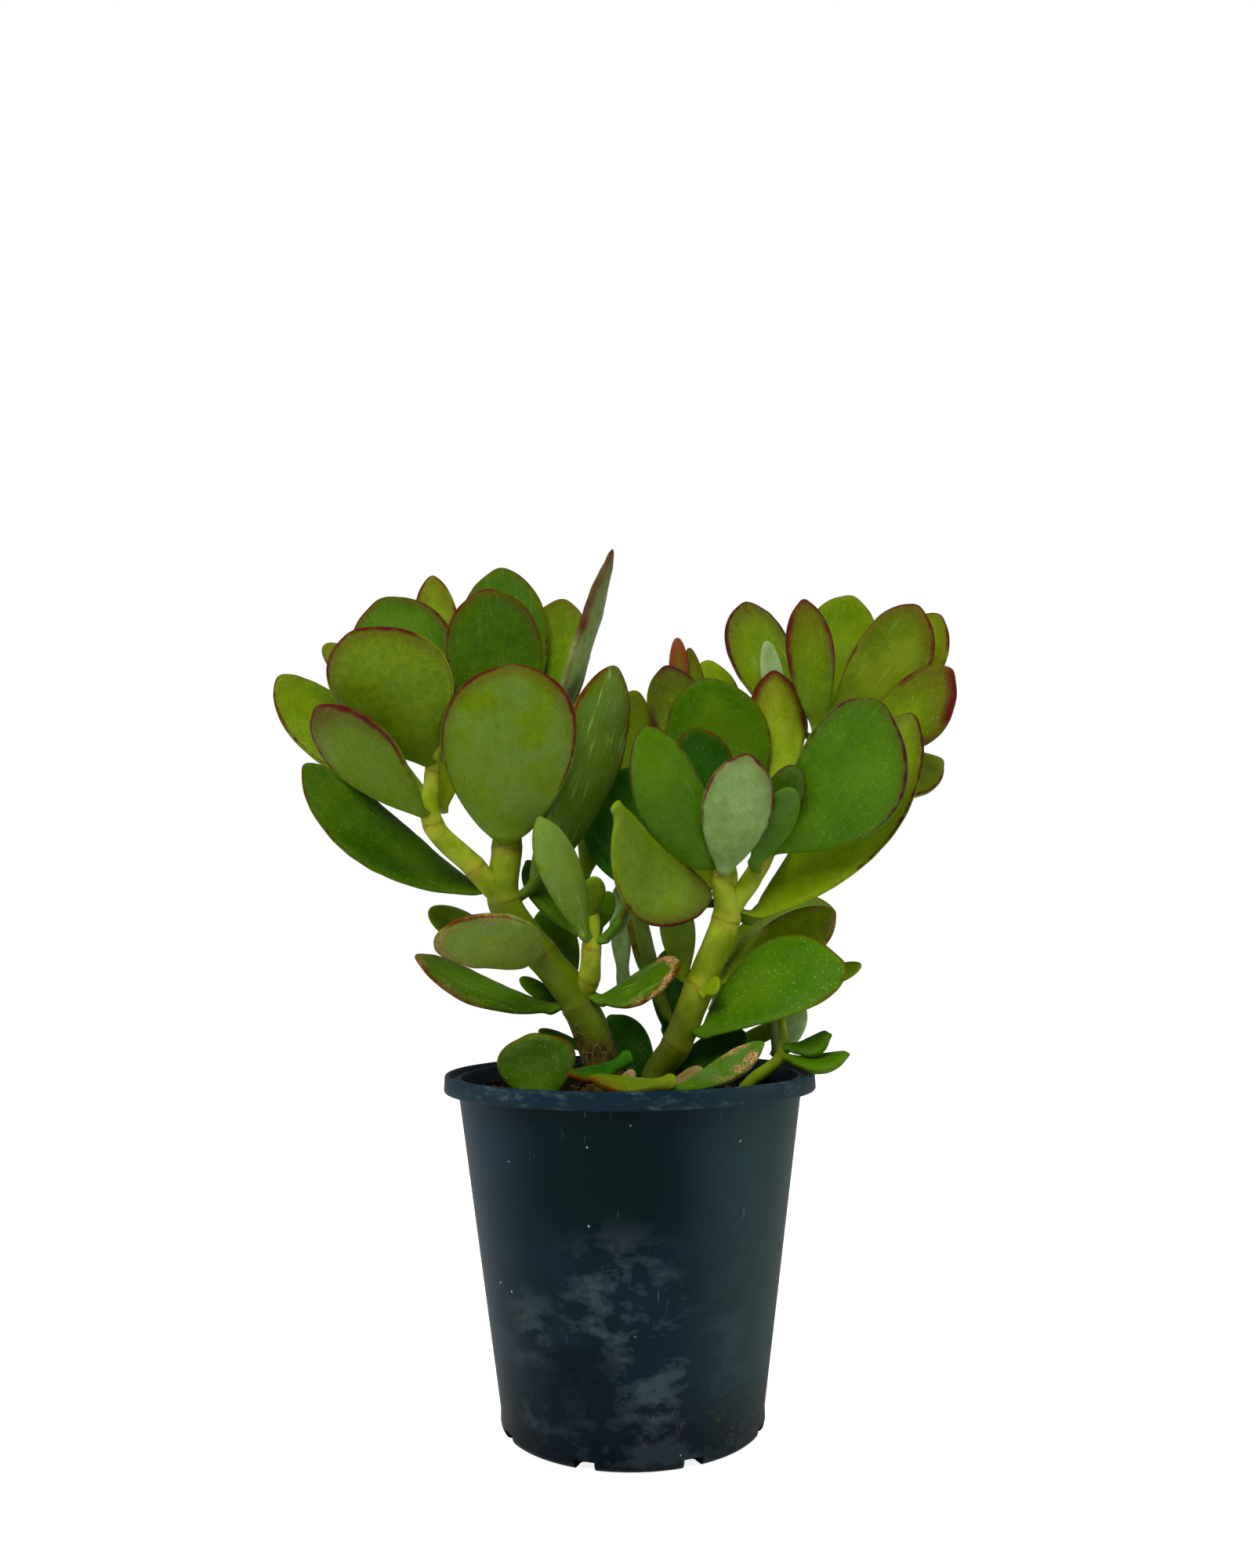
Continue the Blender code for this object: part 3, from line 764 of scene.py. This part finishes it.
def grow_leaf(name, shape, material, wave, seed):
    """Makes the leaf's mesh; wave is how uneven its blade is, in millimetres."""
    _, stalk, tip, side, upper = shape
    rows = leaf_rows(shape)
    nodes = [name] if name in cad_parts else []
    piece_name = name + "_blade" if nodes else name
    leaf = piece_from(ball(LEAF_SIDES, LEAF_RINGS), piece_name, material, "leaf_skin", *nodes)
    along, turn = ball_coordinates(leaf.data)
    points = leaf_points(rows, along, turn)

    ahead = unit(tip - stalk)
    length = np.linalg.norm(tip - stalk)
    flat = np.stack([(points - stalk) @ ahead, (points - stalk) @ side], axis=1)
    steps = np.linspace(0.1, 1, 240)
    rims = [leaf_points(rows, steps, np.full(len(steps), angle)) for angle in (0.0, math.pi)]
    outline = np.vstack(rims)
    outline = np.stack([(outline - stalk) @ ahead, (outline - stalk) @ side], axis=1)
    edge = distance_to(outline, flat)

    blade = np.clip(along * 4 - 0.6, 0, 1)
    uneven = wave * ripples(flat, 0.026, seed) + 0.35 * wave * ripples(flat, 0.009, seed + 1)
    rim = np.exp(-((np.sin(turn) / 0.14) ** 2)) * np.sign(np.cos(turn)) * 0.22
    skin = 0.05 * ripples(points, 0.0045, seed + 2) * np.sin(turn)
    lifted = upper * ((uneven + skin) * blade)[:, None]
    spread = side * (rim * blade * np.abs(np.cos(turn)))[:, None]
    write_points(leaf.data, points + (lifted + spread) * MM)

    set_values(leaf.data, "edge", edge)
    set_values(leaf.data, "along", np.clip(flat[:, 0] / length, 0, 1))
    set_values(leaf.data, "upper", np.sin(turn))
    plane = leaf.data.uv_layers.new(name="leaf_plane")
    corners = np.empty(len(leaf.data.loops), int)
    leaf.data.loops.foreach_get("vertex_index", corners)
    plane.data.foreach_set("uv", (flat[corners][:, ::-1] * 10).astype(np.float32).ravel())


def group_socket(tree, name, kind, way="INPUT"):
    tree.interface.new_socket(name, in_out=way, socket_type="NodeSocket" + kind)


def jade_skin():
    """The look that all the leaves share, with what differs from leaf to leaf as inputs."""
    tree = bpy.data.node_groups.new("jade_skin", "ShaderNodeTree")
    for name in ("Flesh", "Young", "Under", "Margin"):
        group_socket(tree, name, "Color")
    for name in ("Margin Width", "Tip Blush", "Bloom", "Specks", "Streaks", "Corky", "Seed"):
        group_socket(tree, name, "Float")
    for name, kind in (("Color", "Color"), ("Roughness", "Float"), ("Height", "Float")):
        group_socket(tree, name, kind, "OUTPUT")
    given = tree.nodes.new("NodeGroupInput").outputs

    edge = point_value(tree, "edge")
    along = point_value(tree, "along")
    upper = point_value(tree, "upper")
    place = on_object(tree)
    place = add_node(tree, "VectorMath", {0: place, 1: given["Seed"]}, operation="ADD").outputs[0]
    plane = add_node(tree, "UVMap", uv_map="leaf_plane").outputs[0]
    plane = add_node(tree, "VectorMath", {0: plane, 1: given["Seed"]}, operation="ADD").outputs[0]

    broad = cloud(tree, place, 42, 2)
    mottle = cloud(tree, place, 330, 4, 0.6)
    fine = cloud(tree, place, 1500, 2)

    # Flesh: younger and yellower in soft zones, at the stalk and in a thin line at the edge. The
    # soft zones fade towards the edge, a painted sheen that makes the middle of the blade lighter.
    painted_sheen_middle = fade(tree, edge, 0.0, 0.012, 0.35, 0.8)
    young = times(tree, fade(tree, broad, 0.38, 0.66), painted_sheen_middle)
    young = maths(tree, "MAXIMUM", young, fade(tree, along, 0.22, 0.0))
    colour = mix(tree, young, given["Flesh"], given["Young"])
    thin = fade(tree, edge, 0.0035, 0.0003)
    colour = mix(tree, times(tree, thin, 0.45), colour, given["Young"])
    colour = mix(tree, fade(tree, upper, 0.25, -0.35, 0, 0.65), colour, given["Under"])
    colour = mix(tree, fade(tree, mottle, 0.35, 0.7, 0, 0.45), colour, given["Young"])
    colour = mix(tree, fade(tree, fine, 0.6, 0.35, 0, 0.16), colour, rgb(30, 52, 0))

    veins = cloud(tree, stretched(tree, plane, 95, 6, 1), 1, 4, 0.6)
    streak = times(tree, fade(tree, veins, 0.5, 0.72), given["Streaks"])
    streak = times(tree, streak, fade(tree, cloud(tree, place, 90, 2), 0.36, 0.6))
    colour = mix(tree, streak, colour, rgb(136, 164, 78))

    dot_grid = {"Vector": plane, "Scale": 62.0, "Randomness": 0.85}
    dots = add_node(tree, "TexVoronoi", dot_grid).outputs["Distance"]
    dot = times(tree, fade(tree, dots, 0.17, 0.06), given["Specks"])
    dot = times(tree, dot, fade(tree, cloud(tree, place, 130, 2), 0.3, 0.5))
    colour = mix(tree, times(tree, dot, 0.7), colour, rgb(190, 208, 150))

    # Bloom: wax that lies in clouds and breaks up over the fine grain.
    waxy = cloud(tree, place, 75, 5, 0.62)
    bloom = times(tree, fade(tree, waxy, 0.36, 0.64), given["Bloom"])
    bloom = times(tree, bloom, fade(tree, fine, 0.3, 0.62, 0.55, 1.15))
    colour = mix(tree, bloom, colour, rgb(90, 120, 66))

    pits = add_node(tree, "TexVoronoi", {"Vector": plane, "Scale": 17.0}).outputs["Distance"]
    pit = times(tree, fade(tree, pits, 0.055, 0.035), fade(tree, broad, 0.5, 0.56))
    colour = mix(tree, times(tree, pit, 0.75), colour, rgb(22, 34, 2))

    # Red: a ragged band on the margin, a wider faint blush inside it, and the tip.
    ragged = scaled_plus(tree, cloud(tree, place, 260, 3), 0.0016, edge)
    ragged = maths(tree, "SUBTRACT", ragged, 0.0008)
    tipward = fade(tree, along, 0.2, 0.95)
    reach = times(tree, given["Margin Width"], scaled_plus(tree, tipward, 1.6, 0.3))
    band = fade(tree, ragged, reach, 0.0)
    band = times(tree, band, fade(tree, along, 0.12, 0.55, 0.1, 1.0))
    band = times(tree, band, fade(tree, given["Margin Width"], 0.0001, 0.0007))
    band = times(tree, band, fade(tree, broad, 0.3, 0.55, 0.45, 1.0))
    tip_zone = times(tree, fade(tree, along, 0.72, 1.02), given["Tip Blush"])
    tip_zone = times(tree, tip_zone, fade(tree, mottle, 0.25, 0.65, 0.4, 1.0))
    wide_reach = times(tree, reach, 3.5)
    blushed = add_node(
        tree, "MapRange",
        {"Value": ragged, "From Min": wide_reach, "From Max": 0.0, "To Min": 0.0, "To Max": 0.5},
        interpolation_type="SMOOTHERSTEP",
    ).outputs[0]
    has_margin = fade(tree, given["Margin Width"], 0.0002, 0.001)
    blushed = times(tree, blushed, times(tree, tipward, has_margin))
    red = maths(tree, "MAXIMUM", maths(tree, "MAXIMUM", band, blushed), tip_zone)
    red = times(tree, red, fade(tree, dots, 0.05, 0.14, 0.55, 1.0))
    colour = mix(tree, maths(tree, "MINIMUM", red, 0.97), colour, given["Margin"])

    # Crust: pale cork that scars part of an old margin.
    crust = fade(tree, scaled_plus(tree, mottle, -0.006, edge), 0.0012, -0.0016)
    corky_end = times(tree, given["Corky"], fade(tree, along, 0.3, 0.8))
    crust = times(tree, crust, corky_end)
    crust = times(tree, crust, fade(tree, cloud(tree, place, 150, 3), 0.42, 0.56))
    crust_colour = mix(tree, fade(tree, fine, 0.35, 0.65), rgb(96, 60, 26), rgb(170, 142, 96))
    colour = mix(tree, crust, colour, crust_colour)

    roughness = scaled_plus(tree, mottle, 0.16, 0.27)
    roughness = scaled_plus(tree, bloom, 0.22, roughness)
    roughness = scaled_plus(tree, crust, 0.3, roughness)
    height = scaled_plus(tree, mottle, 0.8, times(tree, fine, 0.35))
    height = scaled_plus(tree, dot, 0.35, height)
    height = scaled_plus(tree, crust, 1.2, height)
    made = tree.nodes.new("NodeGroupOutput").inputs
    for name, socket in (("Color", colour), ("Roughness", roughness), ("Height", height)):
        tree.links.new(socket, made[name])
    return tree


JADE_SKIN = jade_skin()
GREY_UNDER, GREEN_UNDER = rgb(82, 106, 3), rgb(80, 108, 1)
CRIMSON, PURPLE, BROWN_RED = rgb(70, 0, 12), rgb(58, 2, 22), rgb(74, 30, 2)
SKIN_TONES = {
    "mid": (rgb(78, 104, 0), rgb(100, 124, 4)),
    "green": (rgb(50, 94, 0), rgb(74, 112, 4)),
    "deep": (rgb(42, 80, 0), rgb(68, 100, 2)),
    "dark": (rgb(14, 62, 0), rgb(36, 84, 1)),
    "bright": (rgb(94, 122, 0), rgb(122, 146, 10)),
    "yellow": (rgb(112, 136, 2), rgb(142, 164, 30)),
    "olive": (rgb(70, 92, 1), rgb(100, 116, 12)),
    "silver": (rgb(104, 134, 66), rgb(150, 172, 124)),
    "dry": (rgb(96, 78, 36), rgb(150, 128, 84)),
}
SKIN_DEPTH = 0.16 * MM
SEED_STEP = 0.37  # metres through the noise from one leaf to the next, so no two match
leaf_count = 0


def leaf_skin(name, seed, tone, under, margin, width, blush, bloom, specks, streaks, corky):
    """One leaf's own material: the shared skin with this leaf's values."""
    made, tree, shader = new_material(
        name + "_skin", subsurface_weight=0.10, subsurface_scale=0.0025, specular_ior_level=0.08,
    )
    shader.inputs["Subsurface Radius"].default_value = (0.5, 1.0, 0.15)
    flesh, young = SKIN_TONES[tone]
    skin = tree.nodes.new("ShaderNodeGroup")
    skin.node_tree = JADE_SKIN
    values = {
        "Flesh": flesh, "Young": young, "Under": under, "Margin": margin,
        "Margin Width": width * MM, "Tip Blush": blush, "Bloom": bloom, "Specks": specks,
        "Streaks": streaks, "Corky": corky, "Seed": seed * SEED_STEP,
    }
    for key, value in values.items():
        skin.inputs[key].default_value = value
    look = (skin.outputs[name] for name in ("Color", "Roughness", "Height"))
    surface(tree, shader, *look, SKIN_DEPTH)
    return made


def leaf(
    name, tone="mid", under=GREEN_UNDER, margin=CRIMSON, width=1.3, blush=0.35, bloom=0.06,
    specks=0.35, streaks=0.12, corky=0.0, wave=0.35, shape=None,
):
    """Grows one leaf.

    tone and under colour its two sides. width is the red margin's, in millimetres, halfway
    along. blush, bloom, specks, streaks and corky run from 0 for none to 1 for the most.
    """
    global leaf_count
    leaf_count += 1
    skin = leaf_skin(
        name, leaf_count, tone, under, margin, width, blush, bloom, specks, streaks, corky,
    )
    grow_leaf(name, shape or shape_of(name), skin, wave, 100 + 7 * leaf_count)


# Left crown: seven leaves at the top of the left trunk, seen mostly from below.
leaf("left_crown_front_leaf", "mid", GREY_UNDER, CRIMSON, 1.2, blush=0.1, bloom=0.42, specks=0.6)
leaf(
    "left_crown_low_right_leaf", "deep", GREY_UNDER, BROWN_RED, 0.8,
    blush=0.1, bloom=0.3, specks=1.0, streaks=1.0,
)
leaf("left_crown_back_leaf", "deep", width=0.7, blush=0.1)
leaf("left_crown_inner_leaf", "deep", width=0.9, blush=0.1)
leaf("left_crown_right_leaf", "mid", width=1.2, streaks=0.3)
leaf("left_crown_blade_leaf", "silver", rgb(112, 136, 56), CRIMSON, 2.8, blush=1.0, streaks=0.8)
leaf("left_crown_small_leaf", "bright", margin=CRIMSON, width=2.0, blush=0.7)

# Left outer branch and the pair below it.
leaf("left_outer_front_leaf", "bright", GREEN_UNDER, CRIMSON, 1.2, blush=0.1)
leaf("left_outer_back_leaf", "deep", width=0.9, blush=0.1)
leaf("left_outer_far_leaf", "mid", width=0.6, blush=0.05, specks=0.6)
leaf("left_outer_tip_leaf", "mid", GREEN_UNDER, CRIMSON, 1.4, blush=0.9, bloom=0.2)
leaf("left_low_spread_leaf", "deep", width=0.5, blush=0.05, specks=0.5)

# Low on the left trunk.
leaf(
    "left_flat_leaf", "mid", rgb(136, 158, 70), BROWN_RED, 0.8,
    blush=0.1, bloom=0.4, specks=0.7, corky=0.4, wave=0.9,
)
leaf("left_lowest_leaf", "deep", rgb(60, 84, 1), BROWN_RED, 0.7, blush=0.3, streaks=0.2, corky=0.25)
leaf(
    "left_node_right_leaf", "deep", rgb(52, 76, 0), BROWN_RED, 0.9,
    blush=0.3, streaks=0.4, corky=1.0,
)
leaf("left_node_back_leaf", "deep", width=0.3, blush=0.0)

# Side shoot.
leaf(
    "shoot_front_leaf", "mid", rgb(112, 142, 56), BROWN_RED, 0.4,
    blush=0.0, bloom=0.4, streaks=1.0,
)
leaf("shoot_left_leaf", "deep", width=0.0, blush=0.0)
leaf("shoot_right_leaf", "green", width=0.5, blush=0.0, bloom=0.2)
leaf("shoot_tall_back_leaf", "mid", margin=BROWN_RED, width=0.8)

# Front of the right crown.
leaf("right_twisted_leaf", "mid", GREEN_UNDER, CRIMSON, 1.2, blush=0.3, bloom=0.15, wave=0.5)
leaf("right_front_left_leaf", "green", rgb(62, 98, 0), PURPLE, 0.5, blush=0.05, specks=0.15)
leaf(
    "right_front_pale_leaf", "silver", rgb(112, 148, 70), CRIMSON, 0.8,
    blush=0.2, bloom=0.4, streaks=0.3,
)
leaf("right_front_broad_leaf", "deep", width=0.5, blush=0.05, bloom=0.0, streaks=0.0)
leaf("right_front_inner_leaf", "dark", rgb(36, 78, 0), BROWN_RED, 0.6, blush=0.2, streaks=0.0)
leaf("right_low_dark_leaf", "dark", width=0.0, blush=0.0)
leaf("right_fork_leaf", "yellow", width=0.0, blush=0.0)

# Behind it.
leaf("right_back_purple_leaf", "mid", margin=PURPLE, width=3.8, blush=1.0, streaks=0.4)
leaf("right_back_green_leaf", "bright", width=0.5, blush=0.1)
leaf("right_back_yellow_leaf", "yellow", width=4.0, blush=0.8, streaks=0.3)

# Right outer branch.
leaf("right_crown_left_leaf", "mid", margin=PURPLE, width=1.8, blush=0.9, streaks=0.3)
leaf("right_crown_tall_leaf", "mid", GREEN_UNDER, CRIMSON, 3.0, blush=1.0, streaks=0.2)
leaf("right_crown_back_leaf", "mid", width=0.5, blush=0.05)
leaf("right_crown_right_leaf", "olive", width=1.6, blush=0.3, streaks=0.2)
leaf("right_crown_far_leaf", "bright", width=1.6, blush=0.4)
leaf("right_crown_low_leaf", "mid", margin=CRIMSON, width=4.6, blush=0.5, specks=0.9)
leaf("right_crown_outer_leaf", "yellow", width=0.7, blush=0.1)
leaf("right_big_front_leaf", "green", margin=PURPLE, width=0.8, blush=0.1, specks=0.35)
leaf("right_long_leaf", "bright", rgb(98, 126, 4), PURPLE, 1.0, blush=0.1)
leaf("right_under_leaf", "deep", GREY_UNDER, BROWN_RED, 0.6, blush=0.1, bloom=0.3)

# Low on the right trunk.
leaf("right_spotted_leaf", "green", margin=BROWN_RED, width=0.5, blush=0.0, specks=0.8, streaks=0.0)
leaf("right_scarred_leaf", "yellow", rgb(124, 154, 18), BROWN_RED, 0.8, blush=0.2, corky=0.7)
leaf("right_round_back_leaf", "bright", width=0.6, blush=0.1)
leaf("right_upright_leaf", "mid", width=0.5, blush=0.0, bloom=0.2)

# Rooted leaves on the mix and the seedling at its right edge.
leaf("soil_round_leaf", "deep", rgb(60, 80, 2), BROWN_RED, 0.5, blush=0.1, bloom=0.2, specks=0.6)
leaf("soil_left_leaf", "dark", rgb(40, 62, 2), BROWN_RED, 0.8, blush=0.3)
leaf("soil_front_leaf", "olive", margin=BROWN_RED, width=0.9, blush=0.3)
leaf("soil_long_leaf", "deep", rgb(58, 84, 8), BROWN_RED, 0.2, blush=0.0, bloom=0.3, corky=1.0)
leaf("soil_rear_leaf", "dark", width=0.0, blush=0.0)
leaf("seedling_right_leaf", "green", width=0.0, blush=0.0)
leaf("seedling_low_leaf", "green", width=0.0, blush=0.0)

# New leaves and buds too small for a solid of their own.
FRONT, UP = np.array([0.0, -1.0, 0.0]), np.array([0.0, 0.0, 1.0])
SALMON = rgb(118, 56, 34)


def small_leaf(name, tone, base, tip, breadth, face=FRONT, thick=3.0, **look):
    """A leaf from base to tip, in millimetres, with no red margin unless it is given one."""
    look = {"width": 0.0, "blush": 0.0, "wave": 0.15, **look}
    leaf(name, tone, shape=new_shape(base, tip, breadth, face, thick, SMALL_LEAF_SAG), **look)


small_leaf(
    "left_outer_bud_leaf", "bright", (-82, -4, 262), (-121, 4, 294), 15, FRONT + UP * 0.5,
    margin=PURPLE, width=1.0, blush=0.6,
)
small_leaf("left_outer_inner_leaf", "yellow", (-72, -8, 224), (-68, 4, 262), 13, specks=0.5)
small_leaf("left_far_leaf", "mid", (-48, 2, 170), (-79, 16, 189), 15, FRONT + UP)
small_leaf("left_trunk_sprout", "green", (-16, 6, 134), (-35, 2, 141), 7, FRONT + UP)
small_leaf("left_node_sprout", "deep", (-25, 3, 151), (-42, 0, 161), 8, FRONT + UP)
small_leaf("shoot_bud_left", "mid", (-15, -9, 184), (-12, -15, 199), 9, thick=5.0)
small_leaf("shoot_bud_right", "deep", (-13, -5, 178), (-7, 1, 194), 8, thick=4.0)
small_leaf("shoot_silver_leaf", "silver", (-2, 6, 157), (-4, 15, 197), 8, streaks=1.0, bloom=0.6)
small_leaf(
    "right_salmon_tip", "mid", (24, 36, 262), (22, 34, 303), 8.5,
    margin=SALMON, width=5, blush=0.8,
)
small_leaf("right_red_edge_leaf", "mid", (34, 34, 262), (27, 36, 299), 7, width=1.4, blush=0.7)
small_leaf("right_crown_bud", "silver", (64, 16, 256), (58, 17, 297), 9)
small_leaf("right_dark_bud", "deep", (52, -20, 212), (62, -33, 238), 14, margin=PURPLE, width=0.5)
small_leaf("right_lower_bud", "green", (47, -18, 202), (60, -38, 229), 13, bloom=0.3)
small_leaf("right_mid_leaf", "mid", (21, -5, 160), (17, -14, 192), 13)
small_leaf("right_shade_leaf", "dark", (15, 6, 139), (17, 10, 172), 15, margin=BROWN_RED)
small_leaf("right_pale_back_leaf", "silver", (34, 14, 148), (53, 24, 179), 19, bloom=0.8)
small_leaf("right_far_tip", "mid", (66, 12, 156), (91, 8, 165), 9, FRONT + UP)
small_leaf("right_foot_leaf", "dark", (16, 4, 126), (45, 0, 139), 16, FRONT + UP)
small_leaf("seedling_strip", "bright", (38, 12, 133), (61, 16, 142), 8, FRONT + UP)
small_leaf("seedling_pale_leaf", "silver", (56, 2, 130), (67, 14, 152), 13, bloom=0.8)
small_leaf("node_scale", "bright", (27, -11, 155), (34, -15, 160), 8, FRONT + UP, thick=3.5)
small_leaf("dry_scale_left", "dry", (-6, -12, 119), (2, -16, 127), 7, FRONT + UP)
small_leaf("dry_scale_right", "dry", (12, -12, 119), (27, -22, 127), 12, FRONT + UP)
small_leaf("pale_scrap", "silver", (22, -24, 120), (32, -28, 128), 7, FRONT + UP, bloom=0.8)


# --- Studio ---
# A pale floor, a large soft lamp above and in front, a window at each side and
# an even white surround. The camera stands low and looks slightly up.

WARM = (1.0, 0.97, 0.89)
FLOOR_GLOW = 0.85
EYE = (0, -0.485, 0.1734)


def pale_floor():
    """A matt floor that the camera sees as white as the backdrop, so no horizon shows."""
    bm = bmesh.new()
    bmesh.ops.create_grid(bm, x_segments=1, y_segments=1, size=6)
    mesh = mesh_from(bm, "floor")
    made, tree, shader = new_material("floor_paint", roughness=0.9, specular_ior_level=0.1)
    place = on_object(tree)
    colour = mix(tree, cloud(tree, place, 2, 2), rgb(236, 236, 236), rgb(240, 240, 240))
    tree.links.new(colour, shader.inputs["Base Color"])
    seen = add_node(tree, "LightPath").outputs["Is Camera Ray"]
    tree.links.new(mix(tree, seen, (0, 0, 0, 1), (1, 1, 1, 1)), shader.inputs["Emission Color"])
    shader.inputs["Emission Strength"].default_value = FLOOR_GLOW
    mesh.materials.append(made)
    floor = new_object("floor", mesh)
    floor.location.z = -0.2 * MM


def soft_light(name, place, aim, size, power, mirrored=True):
    """A round lamp; one that is not mirrored leaves no haze on shiny skin."""
    data = bpy.data.lights.new(name, "AREA")
    data.shape = "DISK"
    data.size = size
    data.energy = power
    data.color = WARM
    lamp = new_object(name, data)
    lamp.visible_glossy = mirrored
    lamp.location = place
    lamp.rotation_euler = (Vector(aim) - Vector(place)).to_track_quat("-Z", "Y").to_euler()


def surround(backdrop, glow):
    """An even white backdrop that lights the plant only softly."""
    world = bpy.data.worlds.new("surround")
    world.use_nodes = True
    tree = world.node_tree
    seen = add_node(tree, "LightPath").outputs["Is Camera Ray"]
    strength = scaled_plus(tree, seen, backdrop - glow, glow)
    tree.links.new(strength, tree.nodes["Background"].inputs["Strength"])
    tint = mix(tree, seen, (*WARM, 1), (1, 1, 1, 1))
    tree.links.new(tint, tree.nodes["Background"].inputs["Color"])
    bpy.context.scene.world = world
    bpy.context.scene.view_settings.view_transform = "Standard"


def camera():
    """Half a metre in front, 47 mm above the rim, tilted up seven degrees."""
    pitch, roll = math.radians(7.35), math.radians(-0.535)
    ahead = Vector((0, math.cos(pitch), math.sin(pitch)))
    right = Vector((1, 0, 0))
    up = right.cross(ahead)
    turned_right = right * math.cos(roll) + up * math.sin(roll)
    turned_up = up * math.cos(roll) - right * math.sin(roll)
    data = bpy.data.cameras.new("camera")
    data.lens = 28.63
    data.sensor_width = 36
    data.clip_start = 0.01
    eye = new_object("camera", data)
    facing = Matrix((turned_right, turned_up, -ahead)).transposed().to_4x4()
    eye.matrix_world = Matrix.Translation(EYE) @ facing
    bpy.context.scene.camera = eye


pale_floor()
soft_light("overhead", (-0.25, -0.85, 1.35), (0, 0, 0.2), 1.1, 26, mirrored=False)
soft_light("left_window", (-1.4, -0.35, 0.55), (0, 0, 0.18), 0.9, 7)
soft_light("right_window", (1.4, -0.25, 0.55), (0, 0, 0.18), 0.9, 6)
surround(1.0, 0.25)
camera()

bpy.context.view_layer.update()
